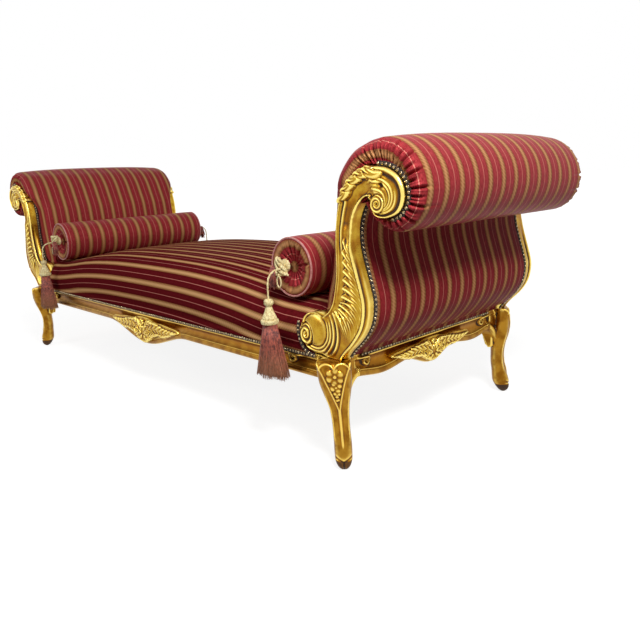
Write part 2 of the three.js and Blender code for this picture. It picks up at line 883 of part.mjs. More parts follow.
// A strip of nailed trim in a rail's rebate, along X and facing -Y
function railTrimForm(half, face) {
  const top = railTop - clearance - (rebateHeight - trimWide) / 2;
  return box(-half, half, -face, -face + trimThick, top - trimWide, top);
}

// One end, built at +X; the other end is the same turned round
function buildEnd(side) {
  const near = side === "right" ? "front" : "rear";
  const far = side === "right" ? "rear" : "front";
  const group = new THREE.Group();
  const leg = legForm();
  const nails = stileTrim();
  const block = cornerBlockForm();
  const endHalf = cornerY - earLength - clearance;
  const turned = (form) => form.rotateZ(Math.PI / 2);
  const topRail = new THREE.CylinderGeometry(topRailRadius, topRailRadius, 2 * betweenStiles, lathePlaces);
  group.add(
    named(`end_rail_${side}`, turned(railForm(endHalf, cornerX, endRailDrop, endRailStationShares)), gilt),
    named(`end_carving_${side}`, turned(carvingForm(endCarvingHalf, cornerX, endRailDrop)), gilt),
    named(`end_nail_trim_${side}`, turned(railTrimForm(endHalf, cornerX)), trim),
    named(`leg_${near}_${side}`, leg, gilt),
    named(`leg_${far}_${side}`, mirrorY(leg), gilt),
    named(`scroll_upright_${near}_${side}`, stileForm, gilt),
    named(`scroll_upright_${far}_${side}`, mirrorY(stileForm), gilt),
    named(`upright_nail_trim_${near}_${side}`, nails, trim),
    named(`upright_nail_trim_${far}_${side}`, mirrorY(nails), trim),
    named(`corner_block_${near}_${side}`, block, beech),
    named(`corner_block_${far}_${side}`, mirrorY(block), beech),
    named(`top_rail_${side}`, topRail.translate(rollAxis.x, 0, rollAxis.y), beech),
    named(
      `arm_rail_${side}`,
      box(cornerX - armRailDeep, cornerX, -betweenStiles, betweenStiles, railTop + clearance, armRailTop),
      beech,
    ),
    named(`end_canvas_${side}`, canvasForm(), webbing),
    named(`inner_pad_${side}`, innerPadForm(), damask),
    named(`roll_pad_${side}`, rollForm(), damask),
    named(`outer_panel_${side}`, outerPanelForm(), damask),
    buildBolster(side, near, far),
  );
  return group;
}

// A bolster with a rosette, a cord and a tassel at each end
function buildBolster(side, near, far) {
  const group = new THREE.Group();
  const rosette = rosetteForm();
  const indexed = rosette.index ? rosette : mergeVertices(rosette);
  const cord = cordForm();
  const tassel = tasselForm();
  group.add(
    named(`bolster_${side}`, bolsterForm(), damask),
    named(`rosette_${near}_${side}`, indexed, braid),
    named(`rosette_${far}_${side}`, mirrorY(indexed), braid),
    named(`tassel_cord_${near}_${side}`, cord, braid),
    named(`tassel_cord_${far}_${side}`, mirrorY(cord), braid),
    named(`tassel_${near}_${side}`, tassel, fringe),
    named(`tassel_${far}_${side}`, mirrorY(tassel), fringe),
  );
  return group;
}

// One long side, built at the front; the rear is the same turned round
function buildLongSide(side) {
  const half = cornerX - earLength - clearance;
  const group = new THREE.Group();
  group.add(
    named(`${side}_rail`, railForm(half, cornerY, longRailDrop, longRailStationShares), gilt),
    named(`${side}_carving`, carvingForm(longCarvingHalf, cornerY, longRailDrop), gilt),
    named(`${side}_nail_trim`, railTrimForm(half, cornerY), trim),
  );
  return group;
}

const recamier = new THREE.Group();
const leftEnd = buildEnd("left");
leftEnd.rotation.z = Math.PI;
const rearSide = buildLongSide("rear");
rearSide.rotation.z = Math.PI;
recamier.add(
  buildEnd("right"),
  leftEnd,
  buildLongSide("front"),
  rearSide,
  named("seat_brace_left", braceForm(-bracePlace), beech),
  named("seat_brace_right", braceForm(bracePlace), beech),
  named("seat_webbing", webbingForm(), webbing),
  named("dust_cover", dustCoverForm(), cambric),
  named("seat_pad", seatForm(), damask),
);

export default recamier;
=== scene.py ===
"""Recamier: a backless daybed with scrolled ends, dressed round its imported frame.

Metres, +Z up, +X along the length and the front towards -Y, as in the frame. Pieces are modelled at the front
right corner, or at the right end, and set in their places by Corner. Each sub-assembly is a class of its own.
"""

from __future__ import annotations

import json
import logging
import math
from collections.abc import Callable, Sequence
from dataclasses import dataclass, field
from enum import Enum
from typing import Any

import bpy
import numpy as np
from mathutils import Matrix, Vector, geometry, kdtree

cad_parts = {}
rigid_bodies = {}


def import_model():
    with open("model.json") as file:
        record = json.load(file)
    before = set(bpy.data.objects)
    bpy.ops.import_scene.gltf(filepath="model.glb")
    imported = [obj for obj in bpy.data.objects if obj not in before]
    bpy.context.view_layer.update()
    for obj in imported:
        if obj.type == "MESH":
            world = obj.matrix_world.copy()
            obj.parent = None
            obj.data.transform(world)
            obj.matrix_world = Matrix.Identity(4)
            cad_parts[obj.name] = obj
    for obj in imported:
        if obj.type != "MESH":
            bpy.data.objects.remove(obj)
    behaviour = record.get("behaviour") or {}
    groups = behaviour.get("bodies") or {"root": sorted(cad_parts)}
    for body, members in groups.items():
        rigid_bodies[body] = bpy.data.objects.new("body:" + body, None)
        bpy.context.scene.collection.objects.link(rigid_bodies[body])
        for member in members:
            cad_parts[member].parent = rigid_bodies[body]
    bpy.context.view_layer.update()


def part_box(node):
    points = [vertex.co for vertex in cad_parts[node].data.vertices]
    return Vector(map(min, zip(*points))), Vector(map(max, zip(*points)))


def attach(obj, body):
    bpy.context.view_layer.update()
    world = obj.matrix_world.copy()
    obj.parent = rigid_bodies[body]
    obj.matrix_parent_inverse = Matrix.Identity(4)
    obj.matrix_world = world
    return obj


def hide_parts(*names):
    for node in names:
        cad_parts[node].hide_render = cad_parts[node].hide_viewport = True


log = logging.getLogger("recamier")
Points = np.ndarray
Colour = tuple[float, float, float]
Socket = bpy.types.NodeSocket
Piece = bpy.types.Object
Material = bpy.types.Material
TAU = 2 * math.pi


class Corner(Enum):
    """The four corners, each with its name, its end and the signs that a front right place takes there."""

    FRONT_RIGHT = ("front_right", "right", (1, 1, 1))
    REAR_RIGHT = ("rear_right", "right", (1, -1, 1))
    FRONT_LEFT = ("front_left", "left", (-1, 1, 1))
    REAR_LEFT = ("rear_left", "left", (-1, -1, 1))

    def __init__(self, label: str, end: str, signs: tuple[int, int, int]) -> None:
        """Keeps the parts of the value under names of their own.

        Args:
            label: The corner's name.
            end: Its end's name.
            signs: The factors for X, Y and Z.
        """
        self.label = label
        self.end = end
        self.signs = np.array(signs)


ENDS = {"right": Corner.FRONT_RIGHT, "left": Corner.FRONT_LEFT}
SIDES = {"front": Corner.FRONT_RIGHT, "rear": Corner.REAR_RIGHT}


# Curves and outlines


def turns(count: int) -> Points:
    """Evenly spaced angles, once round."""
    return np.arange(count) / count * TAU


def circle(angle: Points) -> Points:
    """The places at some angles on a circle with a radius of one."""
    return np.stack([np.cos(angle), np.sin(angle)], 1)


def xyz(x: Any, y: Any, z: Any) -> Points:
    """Places from their coordinates, each of them one number or many."""
    return np.stack(np.broadcast_arrays(x, y, z), -1)


def polar(p: Points, centre: Any) -> tuple[Points, Points]:
    """How far places in the plane are from a centre, and at what angle."""
    x, y = (p - np.array(centre)).T
    return np.hypot(x, y), np.arctan2(y, x)


def unit(vectors: Points) -> Points:
    """The same directions with a length of one."""
    return vectors / np.maximum(np.linalg.norm(vectors, axis=-1, keepdims=True), 1e-12)


def ease(values: Any, low: float, high: float) -> Any:
    """Zero up to low, one from high on and smooth in between."""
    share = np.clip((values - low) / (high - low), 0, 1)
    return share * share * (3 - 2 * share)


def between(values: Any, low: float, full: float, last: float, high: float) -> Any:
    """Zero up to low, one from full to last, zero again from high on and smooth in between."""
    return ease(values, low, full) * (1 - ease(values, last, high))


def swell(values: Points, middle: float, reach: float) -> Points:
    """A smooth hump, one at its middle and near zero two reaches away."""
    return np.exp(-(((values - middle) / reach) ** 2))


def smooth_curve(points: Sequence, step: float, closed: bool = False) -> Points:
    """A smooth curve through some points.

    Args:
        points: The places that it passes, in order.
        step: How far apart its own points are.
        closed: Whether it runs back to its start.

    Returns:
        Its points in order.
    """
    p = np.asarray(points, float)
    p = np.vstack([p[-1:], p, p[:2]]) if closed else np.vstack([2 * p[0] - p[1], p, 2 * p[-1] - p[-2]])
    parts = []
    for a, b, c, d in zip(p, p[1:], p[2:], p[3:]):
        count = max(int(np.linalg.norm(c - b) / step), 1)
        t = (np.arange(count) / count)[:, None]
        bend = (2 * a - 5 * b + 4 * c - d) * t**2 + (3 * b - a - 3 * c + d) * t**3
        parts.append(0.5 * (2 * b + (c - a) * t + bend))
    return np.vstack(parts if closed else [*parts, p[-2:-1]])


def stepped(corners: Points, step: float) -> Points:
    """Straight stretches between corners, cut into steps.

    Args:
        corners: The corners in order.
        step: How long a step is at least.

    Returns:
        The points in order.
    """
    parts = []
    for a, b in zip(corners, corners[1:]):
        count = max(int(np.linalg.norm(b - a) / step), 1)
        parts.append(np.linspace(a, b, count + 1)[:-1])
    return np.vstack([*parts, corners[-1:]])


def arc_lengths(line: Points) -> Points:
    """How far along a line of points each point lies."""
    return np.concatenate([[0.0], np.cumsum(np.linalg.norm(np.diff(line, axis=0), axis=1))])


def spaced(line: Points, count: int) -> Points:
    """The same line with a number of evenly spaced points."""
    along = arc_lengths(line)
    at = np.linspace(0, along[-1], count)
    return np.stack([np.interp(at, along, axis) for axis in line.T], 1)


def locate(points: Points, line: Points) -> tuple[Points, Points]:
    """Finds the nearest place on a line for each of many points.

    Args:
        points: The points, in the plane.
        line: The line's own points in order.

    Returns:
        Each point's distance from the line, and how far along the line its nearest place lies.
    """
    start, run = line[:-1], np.diff(line, axis=0)
    square = np.maximum((run**2).sum(1), 1e-18)
    along = arc_lengths(line)
    far, place = np.empty(len(points)), np.empty(len(points))
    block = 4000
    for i in range(0, len(points), block):
        rel = points[i : i + block, None] - start
        share = np.clip((rel * run).sum(2) / square, 0, 1)
        gap = ((rel - share[..., None] * run) ** 2).sum(2)
        best = gap.argmin(1)
        rows = np.arange(len(best))
        far[i : i + block] = np.sqrt(gap[rows, best])
        place[i : i + block] = along[best] + share[rows, best] * np.sqrt(square[best])
    return far, place


def is_inside(points: Points, outline: Points) -> Points:
    """Which points lie inside a closed outline in the plane.

    Args:
        points: The points.
        outline: The outline's corners in order.

    Returns:
        True or false for each point.
    """
    a, b = outline, np.roll(outline, -1, axis=0)
    hits = np.zeros(len(points), int)
    for (ax, ay), (bx, by) in zip(a, b):
        if ay != by:
            crosses = (points[:, 1] > ay) != (points[:, 1] > by)
            hits += crosses & (points[:, 0] < ax + (points[:, 1] - ay) * (bx - ax) / (by - ay))
    return hits % 2 == 1


def outline_of(node: Piece, axis: int, place: float) -> Points:
    """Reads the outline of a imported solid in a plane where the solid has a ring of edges.

    Args:
        node: The solid's object.
        axis: The axis square to the plane.
        place: Where the plane is on that axis.

    Returns:
        The outline's corners in order, as the two other coordinates, counter-clockwise.
    """
    near, grid = 2e-5, 1e5
    across = [i for i in range(3) if i != axis]
    mesh = node.data
    co = np.array([v.co for v in mesh.vertices], float)
    key = [tuple(np.round(c[across] * grid).astype(int)) if abs(c[axis] - place) < near else None for c in co]
    flat: dict[frozenset, int] = {}
    edges: set[frozenset] = set()
    for polygon in mesh.polygons:
        keys = [key[i] for i in polygon.vertices]
        for a, b in zip(keys, keys[1:] + keys[:1]):
            if a is not None and b is not None and a != b:
                edges.add(frozenset((a, b)))
                flat[frozenset((a, b))] = flat.get(frozenset((a, b)), 0) + (None not in keys)
    rim = [edge for edge in edges if flat[edge] <= 1]
    links: dict[tuple, list] = {}
    for edge in rim:
        a, b = tuple(edge)
        links.setdefault(a, []).append(b)
        links.setdefault(b, []).append(a)
    loop = [min(links)]
    while len(loop) < 2 or loop[-1] != loop[0]:
        before = loop[-2] if len(loop) > 1 else None
        loop.append(next(n for n in links[loop[-1]] if n != before))
    outline = np.array(loop[:-1], float) / grid
    x, y = outline.T
    area = (x * np.roll(y, -1) - np.roll(x, -1) * y).sum()
    return outline if area > 0 else outline[::-1]


def outward_of(line: Points, closed: bool = True) -> Points:
    """Which way is to the right of a line's run, and so out of a counter-clockwise outline, at each point."""
    run = np.roll(line, -1, axis=0) - np.roll(line, 1, axis=0) if closed else np.gradient(line, axis=0)
    run = unit(run)
    return np.stack([run[:, 1], -run[:, 0]], 1)


def crossings(starts: Points, rays: Points, outline: Points) -> Points:
    """How far rays run before they cross an outline.

    Args:
        starts: Where each ray starts, or one place for all.
        rays: Their directions.
        outline: The closed outline.

    Returns:
        Each ray's distance, which is 9 where it never crosses.
    """
    tiny, missed = 1e-12, 9.0
    run = np.roll(outline, -1, axis=0) - outline
    rel = outline - np.atleast_2d(starts)[:, None]
    cross = rays[:, :1] * run[:, 1] - rays[:, 1:] * run[:, 0]
    cross = np.where(np.abs(cross) < tiny, tiny, cross)
    far = (rel[..., 0] * run[:, 1] - rel[..., 1] * run[:, 0]) / cross
    share = (rel[..., 0] * rays[:, 1:] - rel[..., 1] * rays[:, :1]) / cross
    return np.where((share >= 0) & (share <= 1) & (far > 0), far, missed).min(1)


# Surfaces


@dataclass
class Surface:
    """A mesh in the making. Its weave is each point's place on flat cloth, across and along the stripes."""

    points: Points
    faces: list[tuple[int, ...]]
    weave: Points | None = None

    @classmethod
    def lattice(cls, rings: Points, weave: Points | None = None) -> Surface:
        """A closed surface through rings of as many points each.

        Args:
            rings: The points, as rings by points by three.
            weave: The cloth places of the points, in the same order.

        Returns:
            The surface, with its first and last ring filled.
        """
        rows, columns = rings.shape[:2]
        r, c = np.meshgrid(np.arange(rows - 1), np.arange(columns), indexing="ij")
        a, b = r * columns + c, r * columns + (c + 1) % columns
        quads = np.stack([a, b, b + columns, a + columns], -1).reshape(-1, 4)
        faces = list(map(tuple, quads.tolist()))
        faces.append(tuple(range(columns))[::-1])
        faces.append(tuple(range((rows - 1) * columns, rows * columns)))
        flat = None if weave is None else weave.reshape(rows * columns, -1)
        return cls(rings.reshape(-1, 3), faces, flat).facing_out()

    @classmethod
    def joined(cls, parts: Sequence[Surface]) -> Surface:
        """Several surfaces as one.

        Args:
            parts: The surfaces, without weaves.

        Returns:
            The one surface.
        """
        faces, start = [], 0
        for part in parts:
            faces += [tuple(i + start for i in face) for face in part.faces]
            start += len(part.points)
        return cls(np.vstack([part.points for part in parts]), faces)

    def facing_out(self) -> Surface:
        """The same surface with its faces turned outwards."""
        total = 0.0
        for face in self.faces:
            p = self.points[list(face)]
            total += float((np.cross(p[1:-1] - p[0], p[2:] - p[0]) @ p[0]).sum())
        if total < 0:
            self.faces = [face[::-1] for face in self.faces]
        return self

    def at(self, corner: Corner) -> Surface:
        """A copy of this front right surface at another corner."""
        faces = self.faces if corner.signs.prod() > 0 else [face[::-1] for face in self.faces]
        return Surface(self.points * corner.signs, faces, self.weave)

    def turned(self) -> Surface:
        """A copy turned a quarter, so that what faced the front faces the right end."""
        x, y, z = self.points.T
        return Surface(xyz(-y, x, z), self.faces, self.weave)

    def build(self, name: str, finish: Material) -> Piece:
        """Makes the Blender object, smooth shaded and with its finish on.

        Args:
            name: Its name.
            finish: Its material.

        Returns:
            The object.
        """
        mesh = bpy.data.meshes.new(name)
        mesh.from_pydata(self.points.tolist(), [], self.faces)
        if self.weave is not None:
            three = np.zeros((len(self.points), 3), np.float32)
            three[:, : self.weave.shape[1]] = self.weave
            mesh.attributes.new("weave", "FLOAT_VECTOR", "POINT").data.foreach_set("vector", three.ravel())
        mesh.shade_smooth()
        mesh.materials.append(finish)
        made = bpy.data.objects.new(name, mesh)
        bpy.context.scene.collection.objects.link(made)
        return made


def box_surface(low: Points, high: Points) -> Surface:
    """A plain block between two corners."""
    x, y = [low[0], high[0], high[0], low[0]], [low[1], low[1], high[1], high[1]]
    return Surface.lattice(np.array([xyz(x, y, z) for z in (low[2], high[2])]))


def sweep(path: Points, section: Callable[[int], Points]) -> Surface:
    """A tube along a path.

    Args:
        path: The points that it follows.
        section: Gives the outline at the path's n-th point, as sideways and upwards places.

    Returns:
        The tube.
    """
    run = unit(np.gradient(path, axis=0))
    first = np.cross(run[0], (0.0, 0.0, 1.0) if abs(run[0][2]) < 0.9 else (1.0, 0.0, 0.0))
    rings = []
    for i, place in enumerate(path):
        first = unit(first - (first @ run[i]) * run[i])
        second = np.cross(run[i], first)
        across = section(i)
        rings.append(place + across[:, :1] * first + across[:, 1:] * second)
    return Surface.lattice(np.array(rings))


def rope(path: Points, radius: float, lay: float, sides: int = 15) -> Surface:
    """A cord of three twisted strands.

    Args:
        path: The points that it follows.
        radius: Its radius.
        lay: How long one turn of its strands is.
        sides: How many points are round it.

    Returns:
        The cord.
    """
    along = arc_lengths(path)
    angle = turns(sides)
    strands, groove = 3, 0.14

    def section(i: int) -> Points:
        """The cord's outline at one point of its path."""
        lobes = 1 - groove + groove * np.cos(strands * angle - TAU * along[i] / lay)
        return radius * lobes[:, None] * circle(angle)

    return sweep(path, section)


def revolve(profile: Points, sides: int, ribs: Callable[[Points, int], Points] | None = None) -> Surface:
    """A turned form about the Z axis.

    Args:
        profile: Its radius and height at each ring.
        sides: How many points each ring has.
        ribs: Gives the radius's factor at each angle of the n-th ring.

    Returns:
        The form.
    """
    angle = turns(sides)
    rings = []
    for i, (radius, height) in enumerate(profile):
        reach = radius * (ribs(angle, i) if ribs else np.ones(sides))
        rings.append(xyz(reach * np.cos(angle), reach * np.sin(angle), height))
    return Surface.lattice(np.array(rings))


def carved_board(
    outline: Points,
    step: float,
    front: Callable[[Points], Points],
    sides: Points,
    back: float,
    hollow: Any = 1.0,
) -> Surface:
    """A flat board with a carved front, lying in the XZ plane and facing -Y.

    Args:
        outline: Its closed outline in x and z, counter-clockwise.
        step: How far apart the points of its front are.
        front: Gives the front's y at many places.
        sides: Rings between front and back, as the share of the way back and the distance inwards.
        back: The back's y.
        hollow: How much of the distances inwards counts, one number or one for each point.

    Returns:
        The closed board.
    """
    rim_gap, spread, joined = 0.6 * step, 24, 1e-7
    low, high = outline.min(0), outline.max(0)
    rows = np.arange(low[1], high[1], step * math.sqrt(3) / 2)
    columns = np.arange(low[0], high[0], step)
    grid = np.array([(x + (i % 2) * step / 2, z) for i, z in enumerate(rows) for x in columns])
    grid = grid[is_inside(grid, outline)]
    grid = grid[locate(grid, np.vstack([outline, outline[:1]]))[0] > rim_gap]
    count = len(outline)
    plane = np.vstack([outline, grid])
    ring = [(i, (i + 1) % count) for i in range(count)]
    made = geometry.delaunay_2d_cdt([Vector(p) for p in plane], ring, [], 1, joined)
    plane = np.array([tuple(p) for p in made[0]])
    points = [np.stack([plane[:, 0], front(plane), plane[:, 1]], 1)]
    faces = [tuple(face)[::-1] for face in made[2]]
    rim = points[0][:count]
    wrapped = np.concatenate([rim[-spread:, 1], rim[:, 1], rim[:spread, 1]])
    even = np.convolve(wrapped, np.ones(2 * spread + 1) / (2 * spread + 1), "valid")
    inward = -outward_of(outline)
    before = 0
    for share, inset in sides:
        start = sum(map(len, points))
        moved = outline + inward * (inset * hollow)
        depth = rim[:, 1] + (even - rim[:, 1]) * ease(share, 0.0, 0.1)
        points.append(np.stack([moved[:, 0], depth + share * (back - depth), moved[:, 1]], 1))
        faces += [(before + i, before + j, start + j, start + i) for i, j in ring]
        before = start
    closing = geometry.delaunay_2d_cdt([Vector(p) for p in points[-1][:, ::2]], ring, [], 1, joined)
    faces += [tuple(before + i for i in face) for face in closing[2]]
    return Surface(np.vstack(points), faces).facing_out()


def places_and_normals(piece: Piece) -> tuple[Points, Points]:
    """A piece's points, and which way its surface faces at each.

    Args:
        piece: The piece.

    Returns:
        The points and the directions.
    """
    mesh = piece.data
    read = []
    for owner, label in ((mesh.vertices, "co"), (mesh.vertex_normals, "vector")):
        values = np.empty(len(mesh.vertices) * 3)
        owner.foreach_get(label, values)
        read.append(values.reshape(-1, 3))
    return read[0], read[1]


def mark_hollows(
    piece: Piece, rounds: int = 6, depth: float = 0.0006, near: float = 0.003
) -> Piece:
    """Writes how hollow a carved surface is at each point, from -1 on its ridges to 1 in its recesses.

    Args:
        piece: The carved piece.
        rounds: Over how many points the surface is averaged to compare with.
        depth: The depth under that average that counts as fully hollow.
        near: The longest edge that the average is taken over.

    Returns:
        The same piece.
    """
    mesh = piece.data
    count = len(mesh.vertices)
    co, normal = places_and_normals(piece)
    ends = np.empty(len(mesh.edges) * 2, np.int64)
    mesh.edges.foreach_get("vertices", ends)
    a, b = ends.reshape(-1, 2).T
    short = np.linalg.norm(co[a] - co[b], axis=1) < near
    a, b = a[short], b[short]
    links = np.bincount(np.concatenate([a, b]), minlength=count)
    share = 1 / np.maximum(links, 1)

    def averaged(values: Points) -> Points:
        """Each point's value, half taken from its neighbours."""
        total = np.bincount(a, values[b], count) + np.bincount(b, values[a], count)
        return np.where(links > 0, 0.5 * values + 0.5 * total * share, values)

    mean = co.copy()
    hollow = np.zeros(count)
    fine, broad = (rounds, depth, 1.0), (7 * rounds, 5 * depth, 0.55)
    for times, full, part in (fine, broad):
        for _ in range(times):
            mean = np.stack([averaged(column) for column in mean.T], 1)
        hollow += part * np.clip(((mean - co) * normal).sum(1) / full, -1, 1)
    hollow = averaged(np.clip(hollow, -1, 1))
    mesh.attributes.new("hollow", "FLOAT", "POINT").data.foreach_set("value", hollow.astype(np.float32))
    return piece


def settle(piece: Piece, body: str, slot: str, *nodes: str) -> Piece:
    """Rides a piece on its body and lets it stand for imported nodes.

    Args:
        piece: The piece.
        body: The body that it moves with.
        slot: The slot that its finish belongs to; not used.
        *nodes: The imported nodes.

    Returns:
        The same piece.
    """
    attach(piece, body)
    if nodes:
        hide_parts(*nodes)
    log.info("%s rides on %s and stands for %s", piece.name, body, ", ".join(nodes) or "nothing")
    return piece


# Node trees


class Net:
    """A node tree in the making, with one short call for each node."""

    def __init__(self, tree: bpy.types.NodeTree) -> None:
        """Starts on an empty tree."""
        self.tree = tree
        tree.nodes.clear()

    def add(self, kind: str, inputs: dict[Any, Any] | None = None, **settings: Any) -> bpy.types.Node:
        """Adds a node.

        Args:
            kind: The node's type.
            inputs: What its sockets take, by name or number: a value or another node's output.
            **settings: The node's own settings.

        Returns:
            The node.
        """
        node = self.tree.nodes.new(kind)
        for name, value in settings.items():
            setattr(node, name, value)
        for key, value in (inputs or {}).items():
            if isinstance(value, bpy.types.NodeSocket):
                self.tree.links.new(value, node.inputs[key])
            else:
                node.inputs[key].default_value = value
        return node

    def math(self, operation: str, *values: Any) -> Socket:
        """Adds a Math node and gives its output."""
        return self.add("ShaderNodeMath", dict(enumerate(values)), operation=operation).outputs[0]

    def plus(self, first: Any, second: Any) -> Socket:
        """A sum."""
        return self.math("ADD", first, second)

    def minus(self, first: Any, second: Any) -> Socket:
        """A difference."""
        return self.math("SUBTRACT", first, second)

    def times(self, first: Any, second: Any) -> Socket:
        """A product."""
        return self.math("MULTIPLY", first, second)

    def ramp(self, value: Any, low: float, high: float, start: float = 0.0, end: float = 1.0) -> Socket:
        """A smooth step of a value, from start at low to end at high."""
        inputs = {0: value, 1: low, 2: high, 3: start, 4: end}
        return self.add("ShaderNodeMapRange", inputs, interpolation_type="SMOOTHSTEP").outputs[0]

    def mix(self, share: Any, first: Any, second: Any) -> Socket:
        """A mix of two colours."""
        inputs = {0: share, 6: rgba(first), 7: rgba(second)}
        return self.add("ShaderNodeMix", inputs, data_type="RGBA").outputs[2]

    def attribute(self, name: str, output: str) -> Socket:
        """What the piece carries at each point under a name."""
        return self.add("ShaderNodeAttribute", attribute_name=name).outputs[output]

    def noise(self, vector: Any, scale: float, detail: float = 2.0) -> Socket:
        """Noise from about 0 to 1."""
        return self.add("ShaderNodeTexNoise", {"Vector": vector, "Scale": scale, "Detail": detail}).outputs[0]

    def scaled(self, vector: Any, factors: tuple[float, float, float]) -> Socket:
        """A vector times a factor for each axis."""
        return self.add("ShaderNodeVectorMath", {0: vector, 1: factors}, operation="MULTIPLY").outputs[0]

    def shown(self) -> Socket:
        """1 for the rays that the camera, metal or glass sees the background by."""
        rays = self.add("ShaderNodeLightPath").outputs
        seen = self.math("MAXIMUM", rays["Is Camera Ray"], rays["Is Transmission Ray"])
        return self.math("MAXIMUM", seen, rays["Is Glossy Ray"])

    def place(self) -> Socket:
        """The place on the piece, in its own coordinates."""
        return self.add("ShaderNodeTexCoord").outputs["Object"]


def rgba(colour: Any) -> Any:
    """A colour with its alpha, or the socket as it is."""
    return (*colour, 1.0) if isinstance(colour, tuple) and len(colour) == 3 else colour


class Shader(Net):
    """A material in the making: a Principled surface and what feeds it."""

    def __init__(self, name: str) -> None:
        """Makes the material and its output."""
        self.material = bpy.data.materials.new(name)
        self.material.use_nodes = True
        super().__init__(self.material.node_tree)

    def finish(self, inputs: dict[str, Any], height: Any = None, depth: float = 0.001) -> Material:
        """Closes the material.

        Args:
            inputs: What the surface's sockets take.
            height: The relief's height from 0 to 1.
            depth: How deep a full step of that height is.

        Returns:
            The finished material.
        """
        if height is not None:
            bump = self.add("ShaderNodeBump", {"Height": height, "Distance": depth, "Strength": 1.0})
            inputs = {**inputs, "Normal": bump.outputs[0]}
        surface = self.add("ShaderNodeBsdfPrincipled", inputs)
        self.add("ShaderNodeOutputMaterial", {"Surface": surface.outputs[0]})
        return self.material


# Finishes


@dataclass(frozen=True)
class Gilding:
    """Burnished gold leaf over carved wood, rubbed and lit by a painted highlight on its ridges, and brown in
    its hollows.
    """

    name: str
    leaf: Colour
    warm: Colour
    # The ridge colour: rubbed gold that is also a painted highlight
    rubbed: Colour = (0.95, 0.74, 0.19)
    umber: Colour = (0.34, 0.135, 0.01)
    patina: Colour = (0.045, 0.016, 0.003)
    roughness: float = 0.28

    def material(self) -> Material:
        """Makes the material."""
        net = Shader(self.name)
        place = net.place()
        hollow = net.attribute("hollow", "Fac")
        cloud = net.noise(place, 38.0, 4.0)
        speck = net.noise(place, 420.0, 3.0)
        colour = net.mix(net.ramp(cloud, 0.38, 0.66), self.leaf, self.warm)
        dirt = net.plus(hollow, net.times(net.minus(cloud, 0.5), 0.5))
        dark = net.ramp(dirt, 0.22, 0.85)
        # Ridges take the rubbed colour, partly real burnish and partly a painted highlight on every ridge
        colour = net.mix(net.ramp(net.times(hollow, -1.0), 0.15, 0.75), colour, self.rubbed)
        colour = net.mix(net.ramp(dirt, -0.02, 0.4), colour, self.umber)
        colour = net.mix(dark, colour, self.patina)
        rough = net.plus(self.roughness, net.times(dark, 0.3))
        rough = net.plus(rough, net.times(net.minus(speck, 0.5), 0.16))
        metal = net.ramp(dark, 0.2, 1.0, 1.0, 0.35)
        return net.finish({"Base Color": colour, "Roughness": rough, "Metallic": metal}, speck, 0.00025)


@dataclass(frozen=True)
class Damask:
    """Crimson satin with gold brocade stripes and a fine rose line between each two."""

    name: str
    pitch: float = 0.055
    band: float = 0.0185
    line: float = 0.0016
    motif: float = 0.0085
    gloss: float = 0.1
    index: float = 1.2
    # The satin colour is the cloth's crimson raised to rose by a painted sheen
    satin: Colour = (0.46, 0.05, 0.056)
    deep: Colour = (0.19, 0.012, 0.015)
    gold: Colour = (0.54, 0.265, 0.11)
    # Ochre is the brocade's dark tone and also the painted shade at each band's edges
    ochre: Colour = (0.24, 0.085, 0.03)
    rose: Colour = (0.62, 0.23, 0.17)

    def material(self) -> Material:
        """Makes the material, which reads the weave's place across and along the stripes."""
        net = Shader(self.name)
        weave = net.attribute("weave", "Vector")
        across, along, _ = net.add("ShaderNodeSeparateXYZ", {0: weave}).outputs
        cell = net.math("FRACT", net.plus(net.math("DIVIDE", across, self.pitch), 0.5))
        off = net.times(net.math("ABSOLUTE", net.minus(cell, 0.5)), self.pitch)
        half = self.band / 2
        soft = 0.0006
        beside = (self.pitch - self.line) / 2
        band = net.ramp(off, half - soft, half + soft, 1.0, 0.0)
        line = net.ramp(off, beside - soft, beside + soft)
        up, over = net.math("DIVIDE", along, self.motif), net.math("DIVIDE", across, 1.4 * self.motif)
        twist = net.math("SINE", net.times(net.plus(up, over), TAU))
        thread = net.noise(net.scaled(weave, (1400.0, 90.0, 1.0)), 1.0, 1.0)
        grain = net.noise(net.scaled(weave, (700.0, 700.0, 1.0)), 1.0, 2.0)
        # Painted shading of a rounded cord: the gold band is bright at its middle and ochre at its edges,
        # over the twisted brocade
        body = net.ramp(off, 0.0, half, 1.0, 0.1)
        raised = net.plus(net.times(twist, 0.17), net.times(grain, 0.6))
        bright = net.ramp(net.plus(net.times(body, 0.75), raised), 0.25, 1.15)
        gold = net.mix(bright, self.ochre, self.gold)
        satin = net.mix(net.ramp(thread, 0.25, 0.75), self.deep, self.satin)
        shade = net.ramp(off, half, half + 0.006, 0.55, 0.0)
        satin = net.mix(shade, satin, self.deep)
        colour = net.mix(line, net.mix(band, satin, gold), self.rose)
        relief = net.times(band, net.plus(0.5, raised))
        height = net.plus(relief, net.times(thread, 0.2))
        surface = {
            "Base Color": colour,
            "Roughness": net.ramp(band, 0.0, 1.0, 0.42, 0.5),
            "Metallic": net.ramp(band, 0.0, 1.0, self.gloss, 0.15),
            "IOR": self.index,
            "Specular Tint": (1.0, 0.3, 0.3, 1.0),
        }
        return net.finish(surface, height, 0.0004)


